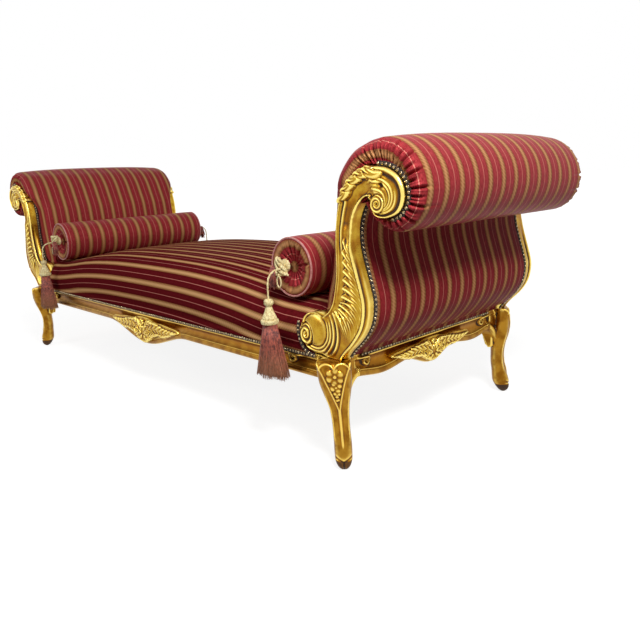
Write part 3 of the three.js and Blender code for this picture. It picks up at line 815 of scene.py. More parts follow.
@dataclass(frozen=True)
class Yarn:
    """Spun silk or rayon: two shades in fine threads, paler towards a height if it has tips."""

    name: str
    light: Colour
    dark: Colour
    tip: Colour | None = None
    tip_low: float = 0.0
    tip_high: float = 1.0
    fibre_length: float = 0.004

    def material(self) -> Material:
        """Makes the material."""
        net = Shader(self.name)
        place = net.place()
        fibre = net.noise(net.scaled(place, (700.0, 700.0, 1 / self.fibre_length)), 1.0, 2.0)
        cloud = net.noise(place, 160.0, 2.0)
        shade = net.plus(net.times(fibre, 0.5), net.times(cloud, 0.5))
        colour = net.mix(net.ramp(shade, 0.36, 0.62), self.dark, self.light)
        if self.tip:
            _, _, height = net.add("ShaderNodeSeparateXYZ", {0: place}).outputs
            colour = net.mix(net.ramp(height, self.tip_low, self.tip_high, 0.8, 0.0), colour, self.tip)
        surface = {"Base Color": colour, "Roughness": 0.5, "Sheen Weight": 0.08, "Sheen Roughness": 0.4}
        return net.finish(surface, fibre, 0.0003)


@dataclass(frozen=True)
class Metal:
    """Antique brass, dark in its marks and bright where it is rubbed."""

    name: str
    bright: Colour
    dark: Colour
    roughness: float = 0.22

    def material(self) -> Material:
        """Makes the material."""
        net = Shader(self.name)
        cloud = net.noise(net.place(), 260.0, 3.0)
        colour = net.mix(net.ramp(cloud, 0.35, 0.68), self.bright, self.dark)
        rough = net.ramp(cloud, 0.3, 0.7, self.roughness, self.roughness + 0.2)
        return net.finish({"Base Color": colour, "Roughness": rough, "Metallic": 1.0})


@dataclass(frozen=True)
class Timber:
    """Plain sawn beech, with its grain along one axis."""

    name: str = "sawn_beech"
    light: Colour = (0.56, 0.39, 0.22)
    dark: Colour = (0.36, 0.22, 0.11)

    def material(self) -> Material:
        """Makes the material."""
        net = Shader(self.name)
        grain = net.noise(net.scaled(net.place(), (60.0, 9.0, 60.0)), 3.0, 5.0)
        colour = net.mix(net.ramp(grain, 0.35, 0.65), self.dark, self.light)
        return net.finish({"Base Color": colour, "Roughness": 0.72}, grain, 0.0006)


@dataclass(frozen=True)
class Cloth:
    """Plain woven cloth: crossed threads of two shades."""

    name: str
    light: Colour
    dark: Colour
    thread: float

    def material(self) -> Material:
        """Makes the material."""
        net = Shader(self.name)
        x, y, z = net.add("ShaderNodeSeparateXYZ", {0: net.place()}).outputs
        turn = TAU / self.thread
        warp = net.math("SINE", net.times(net.plus(x, z), turn))
        weft = net.math("SINE", net.times(y, turn))
        weave = net.times(net.plus(net.times(warp, weft), 1.0), 0.5)
        colour = net.mix(weave, self.dark, self.light)
        return net.finish({"Base Color": colour, "Roughness": 0.9, "Sheen Weight": 0.2}, weave, 0.0005)


class Finishes:
    """Every material of the recamier, made once."""

    def __init__(self) -> None:
        """Makes the materials."""
        self.carved = Gilding("carved_gilding", (0.52, 0.315, 0.03), (0.38, 0.185, 0.013)).material()
        # The rails' and legs' gilding is a darker copy of the carved gilding, painted shade; its pale ridge
        # colour is a painted highlight
        brown, bronze, pale = (0.37, 0.18, 0.017), (0.22, 0.087, 0.007), (0.84, 0.58, 0.12)
        self.moulded = Gilding("moulded_gilding", brown, bronze, pale, roughness=0.31).material()
        self.damask = Damask("damask").material()
        # The seat's copy has darker satin, painted shade, and brighter gold bands, a painted highlight
        dark, darker, bright = (0.17, 0.011, 0.015), (0.075, 0.004, 0.006), (0.66, 0.38, 0.17)
        flat = Damask("damask_on_the_seat", satin=dark, deep=darker, gold=bright, gloss=0.0, index=1.01)
        self.seat = flat.material()
        # The outside's copy is dimmer all over, painted shade
        dim, dimmer, dull = (0.37, 0.035, 0.04), (0.15, 0.009, 0.011), (0.52, 0.25, 0.105)
        shaded = Damask("damask_on_the_outside", satin=dim, deep=dimmer, gold=dull, gloss=0.04, index=1.1)
        self.outside = shaded.material()
        self.braid = Yarn("cream_braid", (1.0, 0.9, 0.5), (0.6, 0.43, 0.17)).material()
        rose, wine, tan = (0.5, 0.12, 0.075), (0.08, 0.009, 0.01), (0.55, 0.25, 0.12)
        self.fringe = Yarn("cut_fringe", rose, wine, tan, 0.186, 0.3, fibre_length=0.07).material()
        self.piping = Yarn("rose_piping", (0.66, 0.3, 0.26), (0.42, 0.14, 0.13)).material()
        self.nail = Metal("nail_brass", (0.42, 0.33, 0.2), (0.09, 0.055, 0.025), 0.17).material()
        self.gimp = Cloth("dark_gimp", (0.02, 0.009, 0.007), (0.006, 0.003, 0.003), 0.0018).material()
        self.beech = Timber().material()
        self.jute = Cloth("jute", (0.5, 0.4, 0.26), (0.3, 0.22, 0.13), 0.003).material()
        self.cambric = Cloth("black_cambric", (0.03, 0.028, 0.027), (0.01, 0.01, 0.01), 0.0016).material()


# Geometry Nodes


class Scatter:
    """Copies of one small shape, set out by Geometry Nodes on marked points or along a marked line."""

    def __init__(self, name: str, shape: Surface, along: bool) -> None:
        """Builds the tree.

        Args:
            name: The tree's name.
            shape: The shape that is copied, standing on its origin along +Z.
            along: Whether copies are spaced along the line of points, rather than one on each.
        """
        self.along = along
        self.shape = shape
        self.tree = bpy.data.node_groups.new(name, "GeometryNodeTree")
        sockets = self.tree.interface
        sockets.new_socket("Geometry", in_out="OUTPUT", socket_type="NodeSocketGeometry")
        kinds = {"Geometry": "Geometry", "Shape": "Object", "Finish": "Material"}
        kinds |= {"Pitch": "Float", "Jitter": "Float", "Seed": "Int"}
        for socket, kind in kinds.items():
            sockets.new_socket(socket, in_out="INPUT", socket_type=f"NodeSocket{kind}")
        self._wire(Net(self.tree))

    def _wire(self, net: Net) -> None:
        """Adds the tree's nodes.

        Args:
            net: The empty tree.
        """
        given = net.add("NodeGroupInput").outputs
        spots = given["Geometry"]
        if self.along:
            line = net.add("GeometryNodeMeshToCurve", {"Mesh": spots})
            inputs = {"Curve": line.outputs[0], "Length": given["Pitch"]}
            spots = net.add("GeometryNodeResampleCurve", inputs, mode="LENGTH").outputs[0]
        named, vector = "GeometryNodeInputNamedAttribute", "FLOAT_VECTOR"
        aim = net.add(named, {"Name": "aim"}, data_type=vector).outputs[0]
        size = net.add(named, {"Name": "size"}, data_type=vector).outputs[0]
        spin = net.add("FunctionNodeRandomValue", {2: 0.0, 3: TAU, "Seed": given["Seed"]}, data_type="FLOAT")
        about = net.add("ShaderNodeCombineXYZ", {2: spin.outputs[1]}).outputs[0]
        start = net.add("FunctionNodeEulerToRotation", {0: about}).outputs[0]
        turn = net.add("FunctionNodeAlignRotationToVector", {"Rotation": start, "Vector": aim}, axis="Z")
        low = net.minus(1.0, given["Jitter"])
        high = net.plus(1.0, given["Jitter"])
        second = net.plus(given["Seed"], 1.0)
        stretch = net.add("FunctionNodeRandomValue", {2: low, 3: high, "Seed": second}, data_type="FLOAT")
        inputs = {0: size, "Scale": stretch.outputs[1]}
        scale = net.add("ShaderNodeVectorMath", inputs, operation="SCALE").outputs[0]
        shape = net.add("GeometryNodeObjectInfo", {"Object": given["Shape"]}).outputs["Geometry"]
        copies = {"Points": spots, "Instance": shape, "Rotation": turn.outputs[0], "Scale": scale}
        placed = net.add("GeometryNodeInstanceOnPoints", copies).outputs[0]
        real = net.add("GeometryNodeRealizeInstances", {0: placed}).outputs[0]
        dressed = net.add("GeometryNodeSetMaterial", {"Geometry": real, "Material": given["Finish"]})
        net.add("NodeGroupOutput", {0: dressed.outputs[0]})

    def set_out(
        self, name: str, spots: Points, aims: Points, sizes: Points, finish: Material, **values: float
    ) -> Piece:
        """Sets out the copies and gives them as one plain mesh.

        Args:
            name: The new piece's name.
            spots: Where the copies stand, or the line that they follow.
            aims: Which way each stands.
            sizes: Its width, depth and height.
            finish: Its material.
            **values: The tree's Pitch, Jitter and Seed.

        Returns:
            The piece.
        """
        items = [item for item in self.tree.interface.items_tree if item.in_out == "INPUT"]
        into = {item.name: item.identifier for item in items}
        mesh = bpy.data.meshes.new(f"{name}_spots")
        edges = [(i, i + 1) for i in range(len(spots) - 1)] if self.along else []
        mesh.from_pydata(spots.tolist(), edges, [])
        for label, rows in (("aim", aims), ("size", np.broadcast_to(sizes, spots.shape))):
            data = mesh.attributes.new(label, "FLOAT_VECTOR", "POINT").data
            data.foreach_set("vector", np.ascontiguousarray(rows, np.float32).ravel())
        holder = bpy.data.objects.new(f"{name}_holder", mesh)
        bpy.context.scene.collection.objects.link(holder)
        shape = self.shape.build(f"{name}_shape", finish)
        modifier = holder.modifiers.new("scatter", "NODES")
        modifier.node_group = self.tree
        for socket, value in {"Shape": shape, "Finish": finish, **values}.items():
            modifier[into[socket]] = value
        made = plain_copy(holder, name)
        bpy.data.objects.remove(holder)
        bpy.data.objects.remove(shape)
        return made


def strands(
    name: str,
    corner: Corner,
    starts: Points,
    tips: Points,
    profile: tuple,
    thick: float,
    finish: Material,
    seed: int,
) -> Piece:
    """Fine strands of a fringe.

    Args:
        name: The new piece's name.
        corner: Where it goes.
        starts: Where each strand starts at the front right.
        tips: Where each ends.
        profile: One strand's radius at its heights, for a strand one thick and one long.
        thick: How thick a strand is.
        finish: Their material.
        seed: The seed of their turns.

    Returns:
        The piece.
    """
    aims = (tips - starts) * corner.signs
    sizes = np.column_stack([np.full((len(aims), 2), thick), np.linalg.norm(aims, axis=1)])
    scatter = Scatter(f"{name}_strands", revolve(np.array(profile), 5), along=False)
    spots = starts * corner.signs
    return scatter.set_out(name, spots, aims, sizes, finish, Pitch=1.0, Jitter=0.0, Seed=seed)


def plain_copy(piece: Piece, name: str) -> Piece:
    """A new object that holds what a piece's modifiers make, as a plain mesh.

    Args:
        piece: The piece.
        name: The new object's name.

    Returns:
        The new object.
    """
    bpy.context.view_layer.update()
    shown = piece.evaluated_get(bpy.context.evaluated_depsgraph_get())
    mesh = bpy.data.meshes.new_from_object(shown)
    mesh.name = name
    made = bpy.data.objects.new(name, mesh)
    bpy.context.scene.collection.objects.link(made)
    return made


@dataclass(frozen=True)
class Swelling:
    """A short cloth simulation that puffs up a padded piece's fabric."""

    voxel: float = 0.006
    pressure: float = 4.0
    frames: int = 20

    def run(self, form: Surface, cap: float, free: Points) -> None:
        """Simulates a coarse copy and moves the fine form as the copy moved.

        Args:
            form: The fine form, which is changed.
            cap: How far a point may move.
            free: How free each of its points is, from 0 to 1.
        """
        rough = Surface(form.points, form.faces).build("swelling", bpy.data.materials.new("swelling"))
        remesh = rough.modifiers.new("remesh", "REMESH")
        remesh.mode = "VOXEL"
        remesh.voxel_size = self.voxel
        cloth = plain_copy(rough, "swelling_cloth")
        start = np.array([v.co for v in cloth.data.vertices])
        modifier = cloth.modifiers.new("cloth", "CLOTH")
        modifier.settings.use_pressure = True
        modifier.settings.uniform_pressure_force = self.pressure
        modifier.settings.effector_weights.gravity = 0.0
        scene = bpy.context.scene
        for frame in range(1, self.frames + 1):
            scene.frame_set(frame)
        swollen = plain_copy(cloth, "swollen")
        moved = np.array([v.co for v in swollen.data.vertices]) - start
        scene.frame_set(1)
        far = np.linalg.norm(moved, axis=1, keepdims=True)
        moved *= np.minimum(1, cap / np.maximum(far, 1e-9))
        tree = kdtree.KDTree(len(start))
        for i, place in enumerate(start):
            tree.insert(place, i)
        tree.balance()
        nearest, softness = 6, 0.002
        for i, place in enumerate(form.points):
            found = tree.find_n(place, nearest)
            weight = np.array([1 / (gap + softness) for _, _, gap in found])
            step = (moved[[j for _, j, _ in found]] * weight[:, None]).sum(0) / weight.sum()
            form.points[i] = place + free[i] * step
        log.info("Cloth simulated: moved up to %.1f mm", 1000 * min(float(far.max()), cap))
        for piece in (rough, cloth, swollen):
            bpy.data.objects.remove(piece)


# Sub-assemblies


@dataclass
class Studio:
    """The camera at the photograph's place, a pale floor and soft lamps."""

    eye: tuple[float, float, float] = (1.9168, -1.3473, 0.6912)
    yaw: float = math.radians(47.12)
    pitch: float = math.radians(11.98)
    roll: float = math.radians(-2.76)
    frame_px: float = 640.0
    focal_px: float = 636.2
    axis_px: tuple[float, float] = (316.28, 308.58)
    sensor: float = 0.036

    def camera(self) -> None:
        """Makes the camera."""
        a, p, r = self.yaw, self.pitch, self.roll
        forward = Vector((-math.sin(a) * math.cos(p), math.cos(a) * math.cos(p), -math.sin(p)))
        right = Vector((math.cos(a), math.sin(a), 0.0))
        up = right.cross(forward)
        side = math.cos(r) * right + math.sin(r) * up
        top = -math.sin(r) * right + math.cos(r) * up
        lens = bpy.data.cameras.new("camera")
        to_millimetres = 1000
        lens.sensor_width = self.sensor * to_millimetres
        lens.lens = self.focal_px / self.frame_px * lens.sensor_width
        lens.shift_x = (self.frame_px / 2 - self.axis_px[0]) / self.frame_px
        lens.shift_y = (self.axis_px[1] - self.frame_px / 2) / self.frame_px
        made = bpy.data.objects.new("camera", lens)
        made.matrix_world = Matrix.Translation(self.eye) @ Matrix((side, top, -forward)).transposed().to_4x4()
        bpy.context.scene.collection.objects.link(made)
        bpy.context.scene.camera = made

    def floor(self) -> None:
        """Makes the floor and the white around it."""
        half = 40.0
        corners = np.array([(-half, -half, 0), (half, -half, 0), (half, half, 0), (-half, half, 0)], float)
        net = Shader("pale_floor")
        place = net.place()
        grain = net.noise(place, 3.0)
        colour = net.mix(grain, (0.28, 0.28, 0.28), (0.3, 0.295, 0.29))
        far = net.add("ShaderNodeVectorMath", {0: place}, operation="LENGTH").outputs["Value"]
        glow = net.times(net.shown(), net.ramp(far, 1.2, 4.0, 0.86, 1.0))
        white = (1.0, 1.0, 1.0, 1.0)
        surface = {"Base Color": colour, "Roughness": 0.9, "Emission Color": white, "Emission Strength": glow}
        floor = Surface(corners, [(0, 1, 2, 3)]).build("floor", net.finish(surface))
        world = bpy.data.worlds.new("studio")
        world.use_nodes = True
        bpy.context.scene.world = world
        net = Net(world.node_tree)
        strength = net.ramp(net.shown(), 0.0, 1.0, 0.14, 1.0)
        light = net.add("ShaderNodeBackground", {"Color": white, "Strength": strength})
        net.add("ShaderNodeOutputWorld", {"Surface": light.outputs[0]})

    def lamp(self, name: str, place: tuple, target: tuple, size: float, power: float) -> None:
        """Makes one square soft lamp.

        Args:
            name: Its name.
            place: Where it hangs.
            target: What it is turned to.
            size: Its side.
            power: Its power in watts.
        """
        light = bpy.data.lights.new(name, "AREA")
        light.size = size
        light.energy = power
        made = bpy.data.objects.new(name, light)
        made.location = place
        made.rotation_mode = "QUATERNION"
        made.rotation_quaternion = (Vector(target) - Vector(place)).to_track_quat("-Z", "Y")
        bpy.context.scene.collection.objects.link(made)

    def build(self) -> None:
        """Makes the whole studio."""
        bpy.context.scene.view_settings.view_transform = "Standard"
        self.camera()
        self.floor()
        self.lamp("key", (2.2, -1.0, 2.15), (0.95, 0.0, 0.5), 0.6, 54.0)
        self.lamp("fill", (-0.9, -3.4, 2.2), (-0.3, 0.0, 0.4), 2.0, 30.0)


@dataclass
class Hanging:
    """A bolster's tassel on its cord, modelled at the front right."""

    finishes: Finishes
    route: tuple = (
        (0.0, 0.0), (0.008, 0.0), (0.016, 0.001), (0.025, 0.004), (0.033, 0.0095), (0.039, 0.018),
        (0.042, 0.029), (0.043, 0.043), (0.043, 0.055), (0.043, 0.068), (0.043, 0.08), (0.043, 0.092),
        (0.043, 0.104), (0.043, 0.116), (0.043, 0.128), (0.043, 0.14), (0.043, 0.152), (0.043, 0.164),
        (0.043, 0.176), (0.043, 0.188), (0.043, 0.198), (0.043, 0.208),
    )
    diameter: float = 0.005
    cord_lay: float = 0.013
    head_shares: tuple = (
        (0.0, 0.0), (0.34, 0.0), (0.5, 0.05), (0.56, 0.12), (0.52, 0.2), (0.36, 0.27), (0.34, 0.31),
        (0.42, 0.37), (0.5, 0.46), (0.62, 0.56), (0.78, 0.67), (0.86, 0.76), (0.8, 0.79), (0.98, 0.82),
        (1.02, 0.87), (0.98, 0.93), (0.86, 0.98), (0.0, 0.99),
    )
    head_radius: float = 0.0205
    head_high: float = 0.063
    foot_rise: float = 0.011
    skirt_top_half: tuple[float, float] = (0.018, 0.014)
    skirt_foot_half: tuple[float, float] = (0.056, 0.0285)
    strand_rings: tuple = (1.0, 0.9, 0.78, 0.62)
    strands: int = 92

    def path(self) -> Points:
        """The cord's route in the frame."""
        low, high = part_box("tassel_cord_front_right")
        start = np.array([(low.x + high.x) / 2, high.y, high.z - self.diameter / 2])
        return np.array([start + (0.0, -forward, -down) for forward, down in self.route])

    def head(self, top: Points) -> Surface:
        """The moulded head: a wound knob, a waist, a ribbed bell and a looped band.

        Args:
            top: The middle of its top.

        Returns:
            The head.
        """
        shares = smooth_curve(self.head_shares, 0.02)
        shares[:, 0] = np.maximum(shares[:, 0], 0.01)
        profile = shares * (self.head_radius, -self.head_high)
        knob_share, bell_share = 0.29, 0.79

        def ribs(angle: Points, i: int) -> Points:
            """The radius's factor round one ring."""
            down = shares[i, 1]
            if down < knob_share:
                return 1 + 0.06 * np.cos(9 * angle + 40 * down)
            if down < bell_share:
                return 1 + 0.05 * np.cos(16 * angle + 9 * down)
            return 1 + 0.09 * np.abs(np.cos(10 * angle))

        made = revolve(profile, 96, ribs)
        made.points = made.points + top
        return made

    def skirt(self, name: str, corner: Corner, top: Points, foot: float) -> Piece:
        """The cut fringe: rings of fine strands over a dark core.

        Args:
            name: Its name.
            corner: Where it goes.
            top: The middle of its top at the front right.
            foot: The height of its foot.

        Returns:
            The fringe.
        """
        count, uneven = self.strands, 0.006
        draw = np.random.default_rng(17)
        starts, tips = [], []
        for ring in self.strand_rings:
            angle = (np.arange(count) + draw.uniform(-0.4, 0.4, count)) / count * TAU
            spread = draw.uniform(0.9, 1.03, (count, 1)) * ring
            flat_top = circle(angle) * self.skirt_top_half * ring
            flat_foot = circle(angle) * self.skirt_foot_half * spread
            wave = 0.003 * np.sin(5 * angle) + draw.uniform(-0.004, 0.003, count)
            starts.append(np.column_stack([flat_top + top[:2], np.full(count, top[2])]))
            tips.append(np.column_stack([flat_foot + top[:2], foot + uneven + np.maximum(wave, -0.004)]))
        profile, thick = ((0.5, 0.0), (0.5, 0.35), (0.42, 0.7), (0.2, 1.0)), 0.0021
        starts, tips = np.vstack(starts), np.vstack(tips)
        return strands(name, corner, starts, tips, profile, thick, self.finishes.fringe, 5)

    def core(self, top: Points, foot: float) -> Surface:
        """The dark middle of the fringe, which keeps light from showing through.

        Args:
            top: The middle of the fringe's top.
            foot: The height of its foot.

        Returns:
            The core.
        """
        narrow, short = 0.86, 0.012
        upper, lower = np.array(self.skirt_top_half), np.array(self.skirt_foot_half)
        rings = []
        for share in np.linspace(0, 1, 12):
            half = upper * (1 - share) + lower * share
            x, y = (circle(turns(32)) * half * narrow + top[:2]).T
            rings.append(xyz(x, y, top[2] + (foot + short - top[2]) * share))
        return Surface.lattice(np.array(rings))

    def build(self) -> None:
        route = self.path()
        fine = smooth_curve(route, 0.0009)
        cord = rope(fine, self.diameter / 2, self.cord_lay)
        low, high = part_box("tassel_front_right")
        top = np.array([route[-1][0], route[-1][1], high.z])
        skirt_top = top - (0, 0, 0.93 * self.head_high)
        foot = low.z + self.foot_rise
        head, core = self.head(top), self.core(skirt_top, foot)
        for corner in Corner:
            body = f"tassel_{corner.label}"
            made = cord.at(corner).build(f"cord_{corner.label}", self.finishes.braid)
            settle(made, body, "cream_braid", f"tassel_cord_{corner.label}")
            top_piece = head.at(corner).build(f"tassel_head_{corner.label}", self.finishes.braid)
            settle(top_piece, body, "cream_braid", f"tassel_{corner.label}")
            skirt = self.skirt(f"tassel_skirt_{corner.label}", corner, skirt_top, foot)
            settle(skirt, body, "tassel_fringe", f"tassel_{corner.label}")
            inner = core.at(corner).build(f"tassel_core_{corner.label}", self.finishes.fringe)
            settle(inner, body, "tassel_fringe", f"tassel_{corner.label}")
            float(arc_lengths(route)[-1])
            [tuple(p) for p in fine * corner.signs]


@dataclass
class Upright:
    """The shape of a scrolled upright, which the carving, the fabric and the nails all follow."""

    step: float = 0.0024
    outer_edge: tuple = (
        (0.924, 0.2683), (0.931, 0.279), (0.944, 0.2935), (0.963, 0.3115), (0.981, 0.332), (0.9945, 0.3535),
        (1.0015, 0.374), (1.0045, 0.395), (1.0038, 0.417), (0.9965, 0.4455), (0.9865, 0.478),
        (0.9765, 0.512), (0.9712, 0.54), (0.9712, 0.566), (0.9742, 0.586), (0.9798, 0.602), (0.988, 0.6175),
        (0.9985, 0.63), (1.0125, 0.6385), (1.0275, 0.6405),
    )
    inner_edge: tuple = (
        (1.0275, 0.6405), (1.0285, 0.6245), (1.0352, 0.6088), (1.0478, 0.5985), (1.0682, 0.5957),
        (1.0884, 0.5998), (1.1057, 0.6085), (1.1169, 0.6245), (1.1205, 0.6455), (1.1144, 0.6667),
        (1.1004, 0.6835), (1.0764, 0.696), (1.0464, 0.7005), (1.023, 0.7), (1.0, 0.694), (0.982, 0.6835),
        (0.9683, 0.6735), (0.9567, 0.661), (0.9435, 0.6405), (0.9325, 0.6096), (0.9262, 0.5784),
        (0.923, 0.5363), (0.9232, 0.5), (0.9225, 0.4777), (0.917, 0.4426), (0.9075, 0.4062),
        (0.8943, 0.3842), (0.8829, 0.3742),
    )
    upper: Points = field(default_factory=lambda: np.array([1.0715, 0.648]))
    back: float = field(init=False)
    front: float = field(init=False)
    outer: Points = field(init=False)
    inner: Points = field(init=False)
    outline: Points = field(init=False)
    foot: Points = field(init=False)
    lower: Points = field(init=False)
    curls: list = field(init=False, default_factory=list)
    curl_pitch: float = 0.0265
    curl_high: float = 0.0044
    curl_spine: tuple = (
        (0.044, 0.019), (0.026, 0.0215), (0.009, 0.0165), (-0.003, 0.0075), (-0.0095, 0.0098),
    )
    volute_radius: float = 0.05
    volute_rise: float = 0.004
    foot_corner: float = math.radians(38)

    def __post_init__(self) -> None:
        """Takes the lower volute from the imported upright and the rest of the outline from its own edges."""
        node = bpy.data.objects["scroll_upright_front_right"]
        low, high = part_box("scroll_upright_front_right")
        self.front, self.back = low.y, high.y
        reach = self.volute_radius
        outline = outline_of(node, 1, self.back)
        *_, foot = (smooth_curve(part, self.step) for part in stretches(outline, self.foot_corner))
        self.foot = foot[foot[:, 0] < self.outer_edge[0][0] - self.step]
        self.outer = smooth_curve(self.outer_edge, self.step)
        self.inner = smooth_curve([*self.inner_edge, self.foot[0]], self.step)
        along = arc_lengths(self.inner)
        x, z = self.inner.T
        shown = ease(z, 0.628, 0.637) * (1 - ease(x, 1.018, 1.034))
        bumps = self.curl_high * shown * np.abs(np.sin(math.pi * along / self.curl_pitch)) ** 0.7
        peaks = np.flatnonzero((shown > 0.5) & (bumps > np.roll(bumps, 1)) & (bumps >= np.roll(bumps, -1)))
        outward = outward_of(self.inner, closed=False)
        self.inner = self.inner + outward * bumps[:, None]
        back = -unit(np.gradient(self.inner, axis=0))
        for i in peaks:
            self.curls.append([self.inner[i] + a * back[i] - b * outward[i] for a, b in self.curl_spine])
        self.outline = np.vstack([self.outer[:-1], self.inner[:-1], self.foot])
        self.lower = np.array([low.x + reach, low.z + reach + self.volute_rise])


def stretches(outline: Points, sharp: float = math.radians(50)) -> list[Points]:
    """Cuts a closed outline at its sharp corners.

    Args:
        outline: The outline.
        sharp: How far its run turns at a corner.

    Returns:
        The stretches between the corners, in order.
    """
    before = unit(outline - np.roll(outline, 1, axis=0))
    after = np.roll(before, -1, axis=0)
    cuts = np.flatnonzero((before * after).sum(1) < math.cos(sharp)).tolist()
    count = len(outline)
    ends = [*cuts[1:], cuts[0] + count]
    return [outline[np.arange(start, end + 1) % count] for start, end in zip(cuts, ends)]


@dataclass
class EndCover:
    """The fabric of one end: up its inner face, over the roll and round to the roll's underside."""

    upright: Upright
    step: float = 0.0014
    loft: float = 0.012
    flat_half: float = 0.318
    taper: float = 0.009
    flat_columns: int = 14
    edge_inset: float = 0.03
    weave_draw: float = 1.03
    end_y: float = 0.352
    rim_y: float = 0.3495
    flank_gather: float = 1.3
    tuck_y: float = 0.3195
    foot_y: float = 0.3165
    rim_gap: float = 0.0035
    edge_columns: int = 9
    face_columns: int = 22
    pleats: int = 54
    pleat_depth: float = 0.0064
    foot_low: float = 0.58
    foot_high: float = 0.69
    foot_edge: float = 0.06
    foot_round: float = 0.016
    throat: tuple = (
        (0.99, 0.634), (1.003, 0.6175), (1.019, 0.601), (1.038, 0.585), (1.058, 0.573), (1.078, 0.565),
    )
    recess: tuple = (
        (0.6, 0.0), (0.63, 0.006), (0.66, 0.014), (0.69, 0.019), (0.715, 0.014), (0.74, 0.009),
        (0.757, 0.004), (0.768, 0.0),
    )
    folds: tuple = (
        (0.13, -0.5), (0.165, -0.8), (0.2, -0.6), (0.235, -0.9), (0.262, -0.35), (0.295, -0.85),
        (0.33, -0.6), (0.36, -0.95), (0.395, -0.7), (0.43, -0.9), (0.465, -0.45), (0.5, -0.8),
        (0.535, -0.55), (0.575, -0.85), (0.61, -0.6), (0.65, -0.8), (0.69, -0.5), (0.735, -0.75),
        (0.78, -0.45), (0.83, -0.6), (0.88, -0.3),
    )
    fold_depth: float = 0.0105
    fold_reach: float = 0.0026
    fill: float = 0.85

    def face(self) -> Points:
        """The cover's line in x and z, from the throat round the roll, over the top and down to the seat."""
        nodes = (bpy.data.objects[name] for name in ("roll_pad_right", "inner_pad_right"))
        roll, pad = (stretches(outline_of(node, 1, 0.0)) for node in nodes)
        roll = max(roll, key=lambda part: arc_lengths(part)[-1])
        inner = min(pad, key=lambda part: part[:, 0].mean())
        line = np.vstack([roll, inner[1:]])
        x, z = line.T
        past_throat = self.throat[-1][0] + 0.012
        line = line[(x > past_throat) | (z > 0.6) | (x < 0.9)]
        x, z = line.T
        recess = np.interp(z, *np.array(self.recess).T) * (1 - ease(x, 0.99, 1.03))
        lift = 0.005 * (1 - ease(z, 0.56, 0.6)) * (x > 1.0)
        return smooth_curve([*self.throat, *(line + np.stack([recess, lift], 1))], self.step)

    def rims(self, face: Points) -> Points:
        """Where each point of the line ends at the upright's edge.

        Args:
            face: The cover's line.

        Returns:
            The places on the upright's edge, or a little way inwards where the upright hides the cover.
        """
        edge = self.upright.outline + outward_of(self.upright.outline) * self.rim_gap
        turn = ease(face[:, 1], 0.56, 0.66)[:, None]
        turn = np.where(face[:, :1] > self.upright.upper[0] - 0.06, 1.0, turn)
        aim = unit(turn * unit(self.upright.upper - face) + (1 - turn) * np.array([1.0, 0.0]))
        far = crossings(face, aim, edge)
        upper_limit, lower_limit, hidden = 0.09, 0.085, 0.035
        limit = np.where(face[:, 1] > self.foot_high, upper_limit, lower_limit)
        return face + aim * np.where(far < limit, far, hidden)[:, None]

    def gather(self, share: Points, progress: Points, length: float) -> Points:
        """How far the pleats and the deeper folds sink the end's fabric.

        Args:
            share: How far round the roll each row is, from 0 to 1.
            progress: How far from the roll's edge to the upright's each column is.
            length: How far it is round the roll.

        Returns:
            The sinking, rows by columns.
        """
        draw = np.random.default_rng(23)
        begins, depths = draw.uniform(-0.5, 0.35, self.pleats + 1), draw.uniform(0.5, 1.0, self.pleats + 1)
        place = share * self.pleats
        index = np.floor(place).astype(int)
        local = place - index
        grows = ease(progress[None, :], begins[index][:, None], begins[index][:, None] + 0.4)
        fold = swell(local, 0.5, 0.21)[:, None] * depths[index][:, None] * grows
        flat = np.clip(progress, 0, 1)[None, :]
        puff = 0.35 * (1 - np.cos(TAU * local))[:, None] * flat
        sunk = self.pleat_depth * (fold - 0.3 * puff)
        for at, begin in self.folds:
            curve = at + 0.012 * np.sin(9 * at * TAU) * flat**2
            off = (share[:, None] - curve) * length
            deep = ease(progress[None, :], begin, begin + 0.4)
            lips = 0.0022 * swell(np.abs(off), 0.0065, 0.003)
            sunk += deep * (self.fold_depth * swell(off, 0, self.fold_reach) - lips)
        return sunk

    def surface(self) -> Surface:
        """Builds the cover."""
        face = self.face()
        rims = self.rims(face)
        along = arc_lengths(face)
        roll_end = along[np.flatnonzero((face[:, 1] < self.foot_high) & (face[:, 0] < 0.95))[0]]
        forward = ease(face[:, 1], self.foot_low, self.foot_high)
        forward = np.where(along < roll_end, 1.0, forward)[:, None]
        drop = rims - face
        reach = np.linalg.norm(drop, axis=1, keepdims=True)
        aim = drop / reach
        end = self.foot_y + (self.end_y - self.foot_y) * forward
        rim = self.foot_y + (self.rim_y - self.foot_y) * forward
        tuck = np.minimum(self.foot_y + (self.tuck_y - self.foot_y) * forward, rim)
        edge = self.foot_edge + (self.edge_inset - self.foot_edge) * forward
        start = end - self.foot_round + (self.foot_round - self.end_y + self.flat_half) * forward
        quarter = np.linspace(0, math.pi / 2, self.edge_columns + 1)[None, 1:]
        inset = np.minimum(edge, (0.97 - 0.22 * forward) * reach)
        bend_in, bend_y = inset * (1 - np.cos(quarter)), start + (end - start) * np.sin(quarter)
        progress = np.linspace(0, 1, self.face_columns + 1)[1:]
        flat_in = inset + (reach - inset) * progress[None, :]
        share = np.clip(along / roll_end, 0, 1 - 1e-6)
        turn = np.concatenate([quarter[0], np.full(self.face_columns, math.pi / 2)])
        before = 0.9 * (quarter[0] / (math.pi / 2) - 1)
        gathers = self.gather(share, np.concatenate([before, progress]), roll_end)
        gathers *= (1 - ease(along, roll_end - 0.09, roll_end - 0.01))[:, None]
        flat_y = end + (rim - end) * progress[None, :]
        lower = self.taper * ease(face[:, :1], 0.95, 1.03) * np.clip(-aim[:, 1:], 0, 1)
        keep = 1 - lower / np.maximum(reach, 0.03)
        half_in = np.hstack([lower, lower + bend_in * keep, lower + flat_in * keep, reach])
